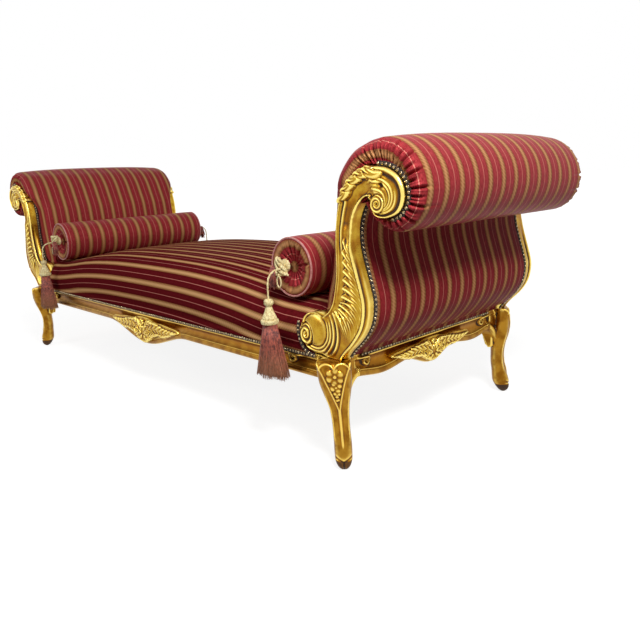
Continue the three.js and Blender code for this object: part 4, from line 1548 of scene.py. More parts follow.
        half_y = np.hstack([start, bend_y, flat_y, tuck])
        steps = np.hypot(np.diff(half_in, axis=1), np.diff(half_y, axis=1))
        half_in[:, 1:-1] += gathers * np.cos(turn)
        half_y[:, 1:-1] -= gathers * np.sin(turn)
        steps[along > roll_end, self.edge_columns :] *= self.flank_gather
        half_across = start + np.hstack([np.zeros((len(face), 1)), np.cumsum(steps, axis=1)])
        middle = np.linspace(-1, 1, self.flat_columns + 1)[None, 1:-1] * start
        inner_y = np.array([0.9, 0.3, -0.3, -0.9])[None, :] * start
        y = np.hstack([-half_y[:, ::-1], middle, half_y, inner_y])
        inset_all = np.hstack([half_in[:, ::-1], lower * np.abs(middle / start) ** 3, half_in, 0 * inner_y])
        across = np.hstack([-half_across[:, ::-1], middle, half_across, inner_y])
        flat = face[:, None] + inset_all[..., None] * aim[:, None]
        flat[:, -4:] = (face - outward_of(face, closed=False) * self.loft)[:, None]
        rings = np.stack([flat[..., 0], y, flat[..., 1]], -1)
        weave = np.stack([self.weave_draw * across, np.broadcast_to(along[:, None], across.shape)], -1)
        return Surface.lattice(rings, weave=weave)

    def build(self, finish: Material) -> None:
        """Makes both ends' covers."""
        form = self.surface()
        for end, corner in ENDS.items():
            piece = form.at(corner).build(f"end_cover_{end}", finish)
            settle(piece, "frame", "damask_upright", f"inner_pad_{end}", f"roll_pad_{end}")


@dataclass
class OuterPanel:
    """The fabric of one end's outside, between the uprights and under the roll, and the canvas behind it."""

    upright: Upright
    step: float = 0.006
    loft: float = 0.005
    edge: float = 0.008
    crown: float = 0.0035
    proud: float = 0.0035
    canvas_depth: float = 0.008
    canvas_half: float = 0.3
    canvas_thick: float = 0.0012
    canvas_start: int = 8
    weave_draw: float = 1.03
    fill: float = 0.9
    top: tuple = ((0.998, 0.624), (1.018, 0.647))
    foot: tuple = ((0.9165, 0.2685), (0.9185, 0.2755), (0.926, 0.2845))
    foot_high: float = 0.292

    def line(self) -> Points:
        """The panel's line in x and z, a little outside the upright's outer edge."""
        edge = self.upright.outer + outward_of(self.upright.outer, closed=False) * self.proud
        high = self.top[0][1] - 0.016
        sides = edge[(edge[:, 1] > self.foot_high) & (edge[:, 1] < high)][::3]
        return smooth_curve([*self.foot, *sides, *self.top], self.step)

    def surface(self) -> Surface:
        """Builds the panel between the uprights."""
        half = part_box("outer_panel_right")[1].y
        face = self.line()
        along = arc_lengths(face)
        out = outward_of(face, closed=False)
        quarter = np.linspace(math.pi / 2, 0, 7)[::-1]
        edge_y, edge_in = half - self.edge * (1 - np.sin(quarter)), self.edge * (1 - np.cos(quarter))
        middle = np.linspace(-1, 1, 41)[1:-1] * (half - self.edge)
        y = np.concatenate([-edge_y[::-1], middle, edge_y])
        inset = np.concatenate([edge_in[::-1], 0 * middle, edge_in])
        inset -= self.crown * (1 - (y / half) ** 2) ** 0.5
        inner_y = np.array([0.9, 0.3, -0.3, -0.9]) * half
        flat = face[:, None] - out[:, None] * np.concatenate([inset, np.full(4, self.loft)])[None, :, None]
        all_y = np.broadcast_to(np.concatenate([y, inner_y]), flat.shape[:2])
        rings = np.stack([flat[..., 0], all_y, flat[..., 1]], -1)
        weave = np.stack([self.weave_draw * all_y, np.broadcast_to(along[:, None], all_y.shape)], -1)
        return Surface.lattice(rings, weave=weave)

    def canvas(self) -> Surface:
        """Builds the canvas that the panel is padded on."""
        face = self.line()[self.canvas_start :]
        out = outward_of(face, closed=False)
        rings = []
        for inset, side in ((0.0, -1), (0.0, 1), (self.canvas_thick, 1), (self.canvas_thick, -1)):
            x, z = (face - out * (self.canvas_depth + inset)).T
            rings.append(xyz(x, side * self.canvas_half, z))
        return Surface.lattice(np.stack(rings, 1))

    def build(self, finishes: Finishes) -> None:
        """Makes both panels and both canvases."""
        form, backing = self.surface(), self.canvas()
        for end, corner in ENDS.items():
            piece = form.at(corner).build(f"outer_cover_{end}", finishes.outside)
            settle(piece, "frame", "damask_upright", f"outer_panel_{end}")
            canvas = backing.at(corner).build(f"canvas_{end}", finishes.jute)
            settle(canvas, "frame", "jute_webbing", f"end_canvas_{end}")


@dataclass
class Seat:
    """The stuffed and crowned seat."""

    upright: Upright
    step: float = 0.005
    room: float = 0.0025
    puff: float = 0.005
    hem_half: float = 0.3572
    hem_drop: float = 0.0035
    flank_half: float = 0.3
    lowest_crown: float = 0.3
    clear: float = 0.0015
    voxel: float = 0.009
    free_from: tuple[float, float] = (0.28, 0.34)
    fill: float = 0.8

    def surface(self) -> Surface:
        """Builds the seat."""
        node = bpy.data.objects["seat_pad"]
        co = np.unique(np.round([tuple(v.co) for v in node.data.vertices], 5), axis=0)
        stations = np.unique(co[:, 0])
        crown = [(x, co[(co[:, 0] == x) & (np.abs(co[:, 1]) < 1e-4), 2].max(initial=0)) for x in stations]
        crown = np.array([(x, z) for x, z in crown if z > self.lowest_crown])
        line = smooth_curve(crown, self.step)
        section = outline_of(node, 0, 0.0)
        cut = int(np.argmin(section[:, 1] + 0.001 * np.sign(section[:, 0])))
        section = np.roll(section, -cut, axis=0)
        base, top = section[:, 1].min(), section[:, 1].max()
        foot = [i for i, p in enumerate(section) if p[1] < base + 1e-4]
        upper = section[foot[-1] :] if foot[-1] - foot[0] == 1 else np.roll(section, -foot[-1], axis=0)
        if not np.allclose(upper[-1], section[foot[0]]):
            upper = np.vstack([upper, section[foot[0]]])
        shares = smooth_curve(upper, self.step)
        half = np.abs(shares[:, 0]).max()
        shares = np.column_stack([shares[:, 0], (shares[:, 1] - base) / (top - base)])
        rings, weave = [], []
        for x, z in line:
            y, height = shares[:, 0], base + shares[:, 1] * (z - base)
            along = arc_lengths(np.column_stack([y, height]))
            across = along - np.interp(0.0, -y if y[0] > y[-1] else y, along)
            hem = 1 - ease(height, base + 0.01, base + 0.03)
            flank = np.sign(y) * np.maximum(np.abs(y), self.hem_half * hem)
            y = np.where(np.abs(y) > self.flank_half, flank, y)
            height = height - self.hem_drop * hem
            far = np.hypot(abs(x) - self.upright.lower[0], height - self.upright.lower[1])
            beside = far < self.upright.volute_radius + self.room
            limit = np.where(beside, -self.upright.back - self.clear, half + 1)
            rings.append(xyz(x, np.clip(y, -limit, limit), height))
            weave.append(np.column_stack([across, np.full(len(y), x)]))
        return Surface.lattice(np.array(rings), weave=np.array(weave))

    def build(self, finish: Material) -> None:
        """Makes the seat."""
        form = self.surface()
        Swelling(self.voxel).run(form, self.puff, ease(form.points[:, 2], *self.free_from))
        piece = form.build("seat_cover", finish)
        settle(piece, "frame", "damask_seat", "seat_pad")


@dataclass
class Bolster:
    """A loose round bolster with piped edges and gathered ends."""

    centre: Points = field(init=False)
    half: float = field(init=False)
    radius: float = field(init=False)
    sides: int = 228
    piping: float = 0.0027
    piping_shares: tuple[float, float] = (0.966, 0.981)
    gathers: int = 17
    gather_wide: float = 0.0032
    gather_deep: float = 0.016
    puff: float = 0.004
    still_from: tuple[float, float] = (0.285, 0.31)
    fill: float = 0.85
    profile_shares: tuple = (
        (0.955, 0.05), (0.957, 0.16), (0.962, 0.3), (0.972, 0.5), (0.981, 0.7), (0.986, 0.82),
        (0.986, 0.91), (0.979, 0.965), (0.965, 0.985), (0.93, 1.0), (0.8, 1.004), (0.5, 0.992),
        (0.0, 0.998),
    )

    def __post_init__(self) -> None:
        """Takes the middle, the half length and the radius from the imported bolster."""
        low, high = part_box("bolster_right")
        self.half, self.radius = high.y, (high.x - low.x) / 2
        self.centre = np.array([(low.x + high.x) / 2, 0.0, (low.z + high.z) / 2])

    def surface(self) -> Surface:
        """Builds the bolster's cover along Y."""
        line = smooth_curve([(a * self.half, r * self.radius) for a, r in self.profile_shares], 0.003)
        line = np.vstack([line, (line * (-1, 1))[-2::-1]])
        along = arc_lengths(line)
        angle = turns(self.sides)
        draw = np.random.default_rng(31)
        begins, depths = draw.uniform(0.5, 0.85, self.gathers), draw.uniform(0.6, 1.0, self.gathers)
        place = angle / TAU * self.gathers
        index, local = np.floor(place).astype(int) % self.gathers, place % 1
        rings, weave = [], []
        for (y, reach), across in zip(line, along - along[-1] / 2):
            inward = 1 - reach / self.radius
            grows = ease(inward, 1 - begins[index] - 0.25, 1 - begins[index] + 0.2)
            near = float(abs(y) > 0.9 * self.half)
            width = min(self.gather_wide * self.gathers / (TAU * reach), 0.34)
            puff = 0.16 * (1 - np.cos(TAU * local)) * inward
            fold = swell(local, 0.5, width) * depths[index] * grows - puff
            sink = self.gather_deep * fold * near * np.sign(y)
            rings.append(self.centre + xyz(reach * np.cos(angle), y - sink, reach * np.sin(angle)))
            weave.append(np.column_stack([np.full(self.sides, across), angle * reach]))
        return Surface.lattice(np.array(rings), weave=np.array(weave))

    def piping_ring(self, sign: int) -> Surface:
        """The corded edge round one end.

        Args:
            sign: Which end, as the sign of its Y.

        Returns:
            The piping.
        """
        angle = np.arange(161) / 160 * TAU
        out, along = self.piping_shares
        reach = out * self.radius
        ring = self.centre + xyz(reach * np.cos(angle), sign * along * self.half, reach * np.sin(angle))
        across = self.piping * circle(turns(9))
        return sweep(ring, lambda i: across)

    def build(self, finishes: Finishes) -> None:
        """Makes both bolsters."""
        form = self.surface()
        Swelling().run(form, self.puff, 1 - ease(np.abs(form.points[:, 1]), *self.still_from))
        for end, corner in ENDS.items():
            piece = form.at(corner).build(f"bolster_cover_{end}", finishes.damask)
            settle(piece, f"bolster_{end}", "damask_bolster", f"bolster_{end}")
            for side, sign in (("front", -1), ("rear", 1)):
                ring = self.piping_ring(sign).at(corner).build(f"piping_{side}_{end}", finishes.piping)
                settle(ring, f"bolster_{end}", "damask_bolster")


@dataclass
class ScrollUpright:
    """The carved uprights: a feathered leaf that runs from the lower volute up into the upper one."""

    upright: Upright
    step: float = 0.00155
    ground: float = 0.3572
    upper_eye: tuple[float, float] = (1.0495, 0.6245)
    upper_pit: tuple[float, float] = (1.0605, 0.6625)
    lower_eye: tuple[float, float] = (0.817, 0.318)
    stroke_pitch: float = 0.0115
    lobe_pitch: float = 0.023
    leaf_high: float = 0.0062
    stroke_high: float = 0.0034
    pit_deep: float = 0.0085
    leaf_shares: tuple = ((0.04, 0.95), (0.1, 0.84), (0.18, 0.76), (0.26, 0.62), (0.36, 0.5), (0.42, 0.5))
    side_shape: tuple = (
        (0.02, -0.0002), (0.06, 0.0012), (0.12, 0.0036), (0.2, 0.0046), (0.28, 0.0036), (0.36, 0.001),
        (0.46, -0.0006), (0.6, -0.0014), (0.74, -0.0008), (0.82, 0.0006), (0.86, 0.0012), (1.0, 0.0012),
    )
    curl_wide: float = 0.0112
    curl_high: float = 0.0105
    bend: tuple = ((0.953, 0.585), (0.958, 0.606), (0.974, 0.627), (0.996, 0.64))

    def leaf(self, outer_gap: Points, inner_gap: Points, climb: Points) -> Points:
        """The feathered leaf beside the outer edge, with its tips towards the inner edge.

        Args:
            outer_gap: How far each place is from the outer edge.
            inner_gap: How far each is from the inner edge.
            climb: How far up the outer edge each lies.

        Returns:
            The leaf's height.
        """
        share = np.interp(climb, *np.array(self.leaf_shares).T)
        stroke = climb - 0.034 * np.log((outer_gap + 0.006) / 0.006)
        lobe = np.abs(np.cos(math.pi * stroke / self.lobe_pitch))
        edge = (outer_gap + inner_gap) * share * (0.82 + 0.18 * lobe)
        mask = 1 - ease(outer_gap, edge - 0.0022, edge + 0.0008)
        across = np.clip(outer_gap / edge, 0, 1)
        ridge = np.abs(np.cos(math.pi * stroke / self.stroke_pitch)) ** 0.8
        ridge *= 0.12 + 0.88 * ease(across, 0.22, 0.6)
        pit = swell(across, 0.8, 0.2) * (1 - lobe) ** 1.5
        round_leaf = self.leaf_high * (0.5 + 0.5 * np.sin(math.pi * across**0.7))
        return mask * (round_leaf + self.stroke_high * ridge - self.pit_deep * pit)

    def body(self, p: Points) -> Points:
        """The stem's carving: beads along both edges, a plain hollow and the leaf.

        Args:
            p: The places.

        Returns:
            Its height at each.
        """
        outer_gap, climb = locate(p, self.upright.outer)
        inner_gap, _ = locate(p, self.upright.inner)
        share = inner_gap / (outer_gap + inner_gap)
        grown = ease(climb, 0.035, 0.085) * (1 - ease(p[:, 1], 0.525, 0.56))
        leaf = self.leaf(outer_gap, inner_gap, climb) - 0.0016 * swell(outer_gap, 0.0052, 0.0016)
        beads = 0.0036 * swell(outer_gap, 0.0018, 0.0017) + 0.0024 * swell(inner_gap, 0.0024, 0.0019)
        fillet = 0.0012 * swell(inner_gap, 0.0078, 0.0022) * ease(climb, 0.16, 0.22)
        reeds = 0.003 * swell(share, 0.36, 0.05)
        reeds -= 0.0018 * swell(share, 0.22, 0.08) + 0.0022 * swell(share, 0.62, 0.2)
        neck = ease(p[:, 1], 0.5, 0.55) * reeds
        bend = 0.0036 * swell(locate(p, smooth_curve(self.bend, 0.003))[0], 0, 0.013)
        return leaf * grown + beads + fillet + neck - bend

    def reach(self, eye: Points, angle: Points) -> Points:
        """How far the outline is from an eye in each direction."""
        turn = np.linspace(-math.pi, math.pi, 361)
        return np.interp(angle, turn, crossings(eye, circle(turn), self.upright.outline))

    def upper_scroll(self, p: Points) -> tuple[Points, Points]:
        """The upper volute: ridges that wind into an eye low on its left, a channel and a rim.

        Args:
            p: The places.

        Returns:
            Its height and how much of it counts at each place.
        """
        far, angle = polar(p, self.upper_eye)
        share = far / self.reach(np.array(self.upper_eye), angle)
        down = ease(-angle, math.radians(-115), math.radians(125))
        phase = (share - 0.3) / 0.098 + 2.5 * down
        ridges = np.abs(np.cos(math.pi * phase)) ** 0.5 * (0.72 + 0.28 * np.sin(2.3 * phase))
        top = ease(angle, math.radians(45), math.radians(95))
        band = ease(share, 0.28, 0.36) * (1 - ease(share, 0.67 + 0.12 * top, 0.74 + 0.12 * top))
        high = 0.0032 + 0.0024 * (1 - share) + 0.0034 * band * ridges
        high -= 0.0034 * swell(share, 0.795, 0.085) * (1 - 0.7 * top)
        high += 0.0034 * swell(share, 0.935, 0.065)
        high -= 0.0075 * swell(polar(p, self.upper_pit)[0], 0, 0.0062)
        turn = (angle / TAU) % 1
        snail = np.log(np.maximum(far, 0.001) / 0.0185) / math.log(0.5) + turn
        coil = 1 - ease(far, 0.0165, 0.0195)
        scroll = 0.0048 + 0.0026 * np.cos(math.pi * snail) ** 2 - 0.003 * (1 - ease(far, 0.0, 0.004))
        high = high * (1 - coil) + scroll * coil
        high -= 0.0035 * swell(far, 0.0198, 0.0013) * (np.abs(angle) < 2.9)
        wrapped = np.where(angle < math.radians(-150), angle + TAU, angle)
        counts = 1 - ease(wrapped, math.radians(96), math.radians(140))
        counts = np.maximum(counts * (share < 1.02), coil)
        return high, counts

    def lower_scroll(self, p: Points) -> tuple[Points, Points]:
        """The lower volute: a smooth bulb with a coiled eye, and ridges that sweep round it into the leaf.

        Args:
            p: The places.

        Returns:
            Its height and how much of it counts at each place.
        """
        far, angle = polar(p, self.upright.lower + (0.004, 0.008))
        bulb = 0.0095 * np.sqrt(np.clip(1 - (far / 0.0385) ** 2, 0, 1))
        near = p - self.lower_eye
        out = np.hypot(near[:, 0], near[:, 1] * 0.86)
        turn = (np.arctan2(near[:, 1], near[:, 0]) / TAU) % 1
        coil = 1 - ease(out, 0.02, 0.023)
        snail = np.log(np.maximum(out, 0.001) / 0.0212) / math.log(0.44) + turn
        ring = 0.005 + 0.0055 * np.cos(math.pi * snail) ** 2 - 0.0075 * (1 - ease(out, 0.002, 0.0075))
        below = ease(-angle, math.radians(-55), 0.0) + (angle > 2.0)
        beyond = between(-angle, math.radians(-60), 0.0, math.radians(85), math.radians(130))
        high = bulb * (1 - coil) + 0.0006
        ridges = [(0.0435, 0.0042, below), (0.0518, 0.0048, below)]
        ridges += [(0.0625, 0.0056, beyond), (0.0755, 0.005, beyond)]
        for radius, height, shown in ridges:
            high = np.maximum(high, height * swell(far, radius, 0.0037) * np.clip(shown, 0, 1))
        high = high * (1 - coil) + ring * coil - 0.0045 * swell(out, 0.0238, 0.0018)
        counts = 1 - ease(far, 0.072, 0.095)
        counts *= 1 - ease(angle, math.radians(10), math.radians(55)) * ease(far, 0.044, 0.053)
        counts *= ease(p[:, 1], 0.272, 0.285)
        return high, counts

    def relief(self, p: Points) -> Points:
        """The carving's height over its ground.

        Args:
            p: The places.

        Returns:
            The height at each.
        """
        high = self.body(p)
        for part in (self.lower_scroll, self.upper_scroll):
            other, counts = part(p)
            high = high * (1 - counts) + other * counts
        for spine in self.upright.curls[::-1]:
            near = np.hypot(*(p - spine[2]).T) < 0.05
            tongue = np.zeros(len(p))
            tongue[near] = leaf_relief(p[near], spine, self.curl_wide, 1.0)
            high = np.where(tongue > 0, np.maximum(high - 0.003, 0.0012 + self.curl_high * tongue), high)
        gap = locate(p, np.vstack([self.upright.outline, self.upright.outline[:1]]))[0]
        return high - 0.0022 * (1 - ease(gap, 0.0, 0.0026))

    def surface(self) -> Surface:
        """Builds the carved board."""
        outline = self.upright.outline
        hollow = 1 - 0.92 * ease(outline[:, 1:], 0.44, 0.53)

        def front(p: Points) -> Points:
            """The front's y at many places."""
            return -self.ground - self.relief(p)

        sides = smooth_curve(self.side_shape, 0.035)
        return carved_board(outline, self.step, front, sides, self.upright.back, hollow)

    def build(self, finish: Material) -> None:
        """Makes the four uprights."""
        form = self.surface()
        for corner in Corner:
            piece = form.at(corner).build(f"carved_upright_{corner.label}", finish)
            mark_hollows(piece)
            settle(piece, "frame", "gilt_wood", f"scroll_upright_{corner.label}")


@dataclass
class Nailing:
    """Rows of domed nails, each on a dark woven band."""

    finishes: Finishes
    pitch: float = 0.0104
    radius: float = 0.0038
    high: float = 0.0029
    wide: float = 0.0102
    thick: float = 0.0012
    lift: float = 0.0024
    sunk: float = 0.0004
    inset: float = 0.0046
    edge_gap: float = 0.0006
    volute_gap: float = 0.0054
    scroll_gap: float = 0.0069
    volute_y: float = -0.3515
    scroll_y: float = -0.3585
    jitter: float = 0.05
    dome: tuple = ((1.0, -0.1), (0.99, 0.25), (0.8, 0.66), (0.42, 0.93), (0.08, 1.0))
    section: tuple = ((-0.5, -0.2), (-0.5, 0.7), (-0.42, 1.0), (0.42, 1.0), (0.5, 0.7), (0.5, -0.2))
    scatter: Scatter = field(init=False)

    def __post_init__(self) -> None:
        """Makes the nail's dome and the tree that sets it out."""
        self.scatter = Scatter("nail_rows", revolve(np.array(self.dome), 10), along=True)

    def band(self, line: Points, aims: Points) -> Surface:
        """The band under a row: a flat ribbon that follows the line."""
        side = unit(np.cross(np.gradient(line, axis=0), aims))
        rings = [line + a * self.wide * side + b * self.thick * aims for a, b in self.section]
        return Surface.lattice(np.stack(rings, 1))

    def row(self, label: str, corner: Corner, line: Points, aim: Any, *nodes: str) -> None:
        """Makes one row at one corner.

        Args:
            label: Its name.
            corner: Where it goes.
            line: The line of the nails at the front right.
            aim: Which way it faces, or which way each of its points does.
            *nodes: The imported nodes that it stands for.
        """
        name = f"{label}_{corner.label}"
        aims = np.broadcast_to(np.array(aim, float), line.shape)
        band = self.band(line, aims).at(corner).build(f"band_{name}", self.finishes.gimp)
        settle(band, "frame", "nail_trim", *nodes)
        spots, sizes = (line + aims * self.thick) * corner.signs, (self.radius, self.radius, self.high)
        values = {"Pitch": self.pitch, "Jitter": self.jitter, "Seed": 3}
        finish = self.finishes.nail
        nails = self.scatter.set_out(f"nails_{name}", spots, aims * corner.signs, sizes, finish, **values)
        settle(nails, "frame", "nail_trim", *nodes)

    def build(self, upright: Upright) -> None:
        """Makes every row.

        Args:
            upright: The upright whose edges the rows follow.
        """
        inner = upright.inner
        self.edge("outer", upright, upright.outer, upright.outer[:, 1] > upright.outer[0, 1] + 0.004)
        shown = (inner[:, 0] < 0.94) & (inner[:, 1] > 0.378) & (inner[:, 1] < 0.626)
        self.edge("inner", upright, inner, shown)
        self.rims(upright)
        low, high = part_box("front_nail_trim")
        x = np.linspace(low.x + self.inset, high.x - self.inset, 220)
        line = xyz(x, high.y - self.sunk, (low.z + high.z) / 2 + self.lift)
        for side, corner in SIDES.items():
            self.row("rail", corner, line, (0.0, -1.0, 0.0), f"{side}_nail_trim")
        low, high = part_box("end_nail_trim_right")
        y = np.linspace(low.y + self.inset, high.y - self.inset, 90)
        line = xyz(low.x + self.sunk, y, (low.z + high.z) / 2 + self.lift)
        for end, corner in ENDS.items():
            self.row("end_rail", corner, line, (1.0, 0.0, 0.0), f"end_nail_trim_{end}")

    def edge(self, label: str, upright: Upright, edge: Points, keep: Points) -> None:
        """The rows along one edge of the uprights.

        Args:
            label: Their name.
            upright: The upright.
            edge: Its edge, in x and z.
            keep: Which points of the edge the row follows.
        """
        out = outward_of(edge, closed=False)[keep]
        line = np.insert(edge[keep] + out * self.edge_gap, 1, upright.back - self.inset, axis=1)
        for corner in Corner:
            self.row(label, corner, line, np.insert(out, 1, 0.0, axis=1), f"upright_nail_trim_{corner.label}")

    def rims(self, upright: Upright) -> None:
        """The rows on the pleats round the upper volutes, and beside the lower ones.

        Args:
            upright: The upright.
        """
        moved = upright.inner + outward_of(upright.inner, closed=False) * self.volute_gap
        right = int(np.argmax(moved[:, 0]))
        first, last = sorted((right, int(np.argmin(np.abs(moved[:, 0] - 1.086) + (moved[:, 1] > 0.62)))))
        crest = int(np.flatnonzero((moved[:, 0] > 1.046) & (moved[:, 1] > 0.66))[-1])
        volute = moved[min(first, crest) : max(last, crest)]
        foot = upright.foot + outward_of(upright.foot, closed=False) * self.scroll_gap
        scroll = foot[(foot[:, 0] < 0.84) & (foot[:, 1] < 0.345)]
        for label, part, face_y in (("volute", volute, self.volute_y), ("scroll", scroll, self.scroll_y)):
            line = np.insert(spaced(part, 120), 1, face_y, axis=1)
            for corner in Corner:
                self.row(label, corner, line, (0.0, -1.0, 0.0), f"upright_nail_trim_{corner.label}")


def leaf_relief(p: Points, spine: Sequence, wide: float, veins: float = 5.0) -> Points:
    """A carved leaf along a spine, with slanting veins and a lobed edge.

    Args:
        p: The places.
        spine: The leaf's middle line, from its root to its tip.
        wide: Its half width where it is widest.
        veins: How many veins it has to each side.

    Returns:
        Its height at each place, as a share of its full height.
    """
    line = smooth_curve(spine, 0.003)
    gap, at = locate(p, line)
    share = at / arc_lengths(line)[-1]
    slant = share * veins - 0.9 * gap / wide
    lobe = np.abs(np.cos(math.pi * slant))
    half = wide * (np.sin(math.pi * np.clip(share, 0, 1) ** 0.75) * 0.86 + 0.14) * (0.8 + 0.2 * lobe)
    half = np.where((share <= 0) | (share >= 1), 0.14 * wide, half)
    across = np.clip(gap / np.maximum(half, 1e-5), 0, 1.2)
    mask = 1 - ease(across, 0.86, 1.06)
    rib = swell(gap, 0.0, 0.0016)
    arch = 0.5 + 0.28 * np.cos(0.5 * math.pi * np.clip(across, 0, 1))
    return mask * (arch + 0.26 * lobe**0.8 * (1 - rib) + 0.2 * rib)


def blossom_relief(p: Points, centre: tuple[float, float], radius: float, petals: int = 5) -> Points:
    """A carved blossom with cupped petals round a button.

    Args:
        p: The places.
        centre: The blossom's middle.
        radius: Its radius.
        petals: How many petals it has.

    Returns:
        Its height at each place, as a share of its full height.
    """
    far, angle = polar(p, centre)
    far = far / radius
    petal = np.abs(np.cos(petals / 2 * (angle + 0.5)))
    share = far / (0.62 + 0.38 * petal**0.7)
    cup = (1 - ease(share, 0.84, 1.04)) * (0.42 + 0.55 * ease(share, 0.25, 0.8)) * (0.72 + 0.28 * petal**0.5)
    button = 0.95 * np.sqrt(np.clip(1 - (far / 0.26) ** 2, 0, 1))
    return np.maximum(cup, button)


@dataclass
class Moulding:
    """A rail's section: a bead below, a hollow, a fillet and a plain top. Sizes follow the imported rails."""

    high: float = 0.058
    bead: float = 0.017
    rebate: float = 0.012
    rebate_deep: float = 0.006
    hollow: float = 0.014
    quirk: float = 0.0022
    fillet: float = 0.003

    def depth(self, up: Points, high: Points) -> Points:
        """How far behind the rail's face the moulding lies.

        Args:
            up: Heights over the lower edge.
            high: The whole height at each place.

        Returns:
            The depths.
        """
        half, top = self.bead / 2, high - self.rebate
        bead = 0.78 * half * (1 - np.sqrt(np.clip(1 - ((up - half) / half) ** 2, 0, 1)))
        bead = np.minimum(bead, self.quirk + 0.006) + self.quirk * ease(up, 0.86 * self.bead, self.bead)
        share = np.clip((up - self.bead) / np.maximum(top - self.bead, 1e-4), 0, 1)
        cove = self.quirk + (self.hollow - self.quirk) * np.sin(math.pi * share) ** 0.85
        cove -= (self.quirk - self.fillet) * share
        flat = self.fillet + (self.rebate_deep - self.fillet) * ease(up, top - 0.0005, top + 0.0008)
        return np.where(up < self.bead, bead, np.where(up < top, cove, flat))


@dataclass
class Rail:
    """One moulded rail with its carved middle, modelled along X and facing -Y."""

    half: float
    face: float
    drops: tuple[tuple[float, float, float], ...]
    boss: float
    moulding: Moulding = field(default_factory=Moulding)
    step: float = 0.003
    thick: float = 0.045
    top: float = 0.268
    lap: float = 0.011

    def drop(self, x: Points) -> Points:
        """How far the lower edge dips at each place along the rail.

        Args:
            x: The places.

        Returns:
            The dips.
        """
        total = np.zeros_like(x)
        for middle, deep, half in self.drops:
            off = np.minimum(np.abs(np.abs(x) - middle) / half, 1)
            total += deep * (1 + np.cos(math.pi * off)) / 2
        return total

    def surface(self) -> Surface:
        """Builds the rail."""
        reach = self.half + self.lap
        x = np.linspace(-reach, reach, int(2 * reach / self.step))
        high = self.moulding.high + self.drop(x)
        fine = np.concatenate([np.linspace(0, 1, 15), np.linspace(1, 2, 23)[1:], np.linspace(2, 3, 5)[1:]])
        marks = np.stack([0 * high, 0 * high + self.moulding.bead, high - self.moulding.rebate, high], 1)
        up = np.array([np.interp(fine, np.arange(4), row) for row in marks])
        out, over = np.abs(x)[:, None], up - 0.6 * high[:, None]
        off = np.hypot(out - self.boss, over)
        scroll = 0.009 * swell(off, 0, 0.0035) + 0.0085 * swell(off, 0.0095, 0.0032)
        tail = between(out, self.boss, self.boss + 0.004, self.boss + 0.02, self.boss + 0.05)
        raised = np.maximum(scroll, 0.007 * swell(over, 0.0095, 0.003) * tail)
        deep = np.maximum(self.moulding.depth(up, high[:, None]) - raised, -0.001)
        front = xyz(x[:, None], deep - self.face, up + (self.top - high)[:, None])
        corners = ((self.thick, self.top), (self.thick, self.top - high))
        behind = [xyz(x, deep - self.face, z)[:, None] for deep, z in corners]
        return Surface.lattice(np.concatenate([front, *behind], axis=1))


@dataclass
class Carving:
    """The relief at the middle of a rail: a shell and blossoms between sprays of leaves."""

    half: float
    low: float
    high: float
    face: float
    step: float = 0.0016
    deep: float = 0.0105
    ground: float = 0.0012
    sunk: float = 0.014
    outline_shares: tuple = (
        (0.0, 0.0), (0.09, 0.035), (0.2, 0.16), (0.3, 0.3), (0.45, 0.36), (0.6, 0.38), (0.78, 0.5),
        (0.93, 0.63), (1.0, 0.7), (0.95, 0.8), (0.76, 0.84), (0.55, 0.88), (0.36, 0.9), (0.2, 0.97),
        (0.07, 1.0),
    )
    spray_shares: tuple = (
        (((0.06, 0.42), (0.22, 0.62), (0.42, 0.68), (0.66, 0.62), (0.97, 0.7)), 0.2, 9.0),
        (((0.05, 0.4), (0.2, 0.34), (0.36, 0.44), (0.5, 0.5)), 0.14, 5.0),
        (((0.04, 0.5), (0.12, 0.74), (0.26, 0.87), (0.45, 0.84)), 0.13, 5.0),
        (((0.45, 0.5), (0.6, 0.47), (0.75, 0.55), (0.86, 0.62)), 0.1, 5.0),
        (((0.03, 0.3), (0.1, 0.17), (0.2, 0.2)), 0.09, 3.0),
    )
    blossom_shares: tuple = (((0.17, 0.47), 0.13), ((0.3, 0.56), 0.11), ((0.0, 0.82), 0.12))

    def place(self, share: tuple[float, float], side: int = 1) -> tuple[float, float]:
        """A place on the carving from its shares of the half length and the height."""
        return (side * share[0] * self.half, self.low + share[1] * (self.high - self.low))

    def shell(self, p: Points) -> Points:
        """The ribbed shell in the middle.

        Args:
            p: The places.

        Returns:
            Its height at each, as a share of its full height.
        """
        tall = self.high - self.low
        far, angle = polar(p[:, ::-1], (self.low + 0.3 * tall, 0.0))
        far = far / (0.4 * tall)
        rib = np.abs(np.cos(6.5 * angle))
        edge = 0.9 + 0.1 * rib
        return (1 - ease(far / edge, 0.88, 1.03)) * (0.5 + 0.3 * far + 0.32 * rib**0.8 * far)

    def relief(self, p: Points) -> Points:
        """The carving's height.

        Args:
            p: The places.

        Returns:
            The height at each, as a share of the carving's depth.
        """
        tall = self.high - self.low
        high = 0.75 * self.shell(p)
        for side in (1, -1):
            for shares, wide, veins in self.spray_shares:
                spine = [self.place(share, side) for share in shares]
                high = np.maximum(high, leaf_relief(p, spine, wide * tall, veins) * 0.8)
            for share, radius in self.blossom_shares:
                high = np.maximum(high, blossom_relief(p, self.place(share, side), radius * tall))
        return np.maximum(high, 0.06)

    def surface(self) -> Surface:
        """Builds the carving as a board whose ground lies on the moulding."""
        right = [self.place(share) for share in self.outline_shares]
        left = [(-x, z) for x, z in right[:0:-1]]
        outline = smooth_curve([*right, *left], 0.0025, closed=True)
        edge = np.vstack([outline, outline[:1]])

        def front(p: Points) -> Points:
            """The front's y at many places."""
            rise = ease(locate(p, edge)[0], 0.0, 0.005)
            return -self.face - self.ground - self.deep * self.relief(p) * (0.35 + 0.65 * rise)

        sides = [(0.5, 0.0006), (1.0, 0.0012)]
        return carved_board(outline, self.step, front, sides, self.sunk - self.face)


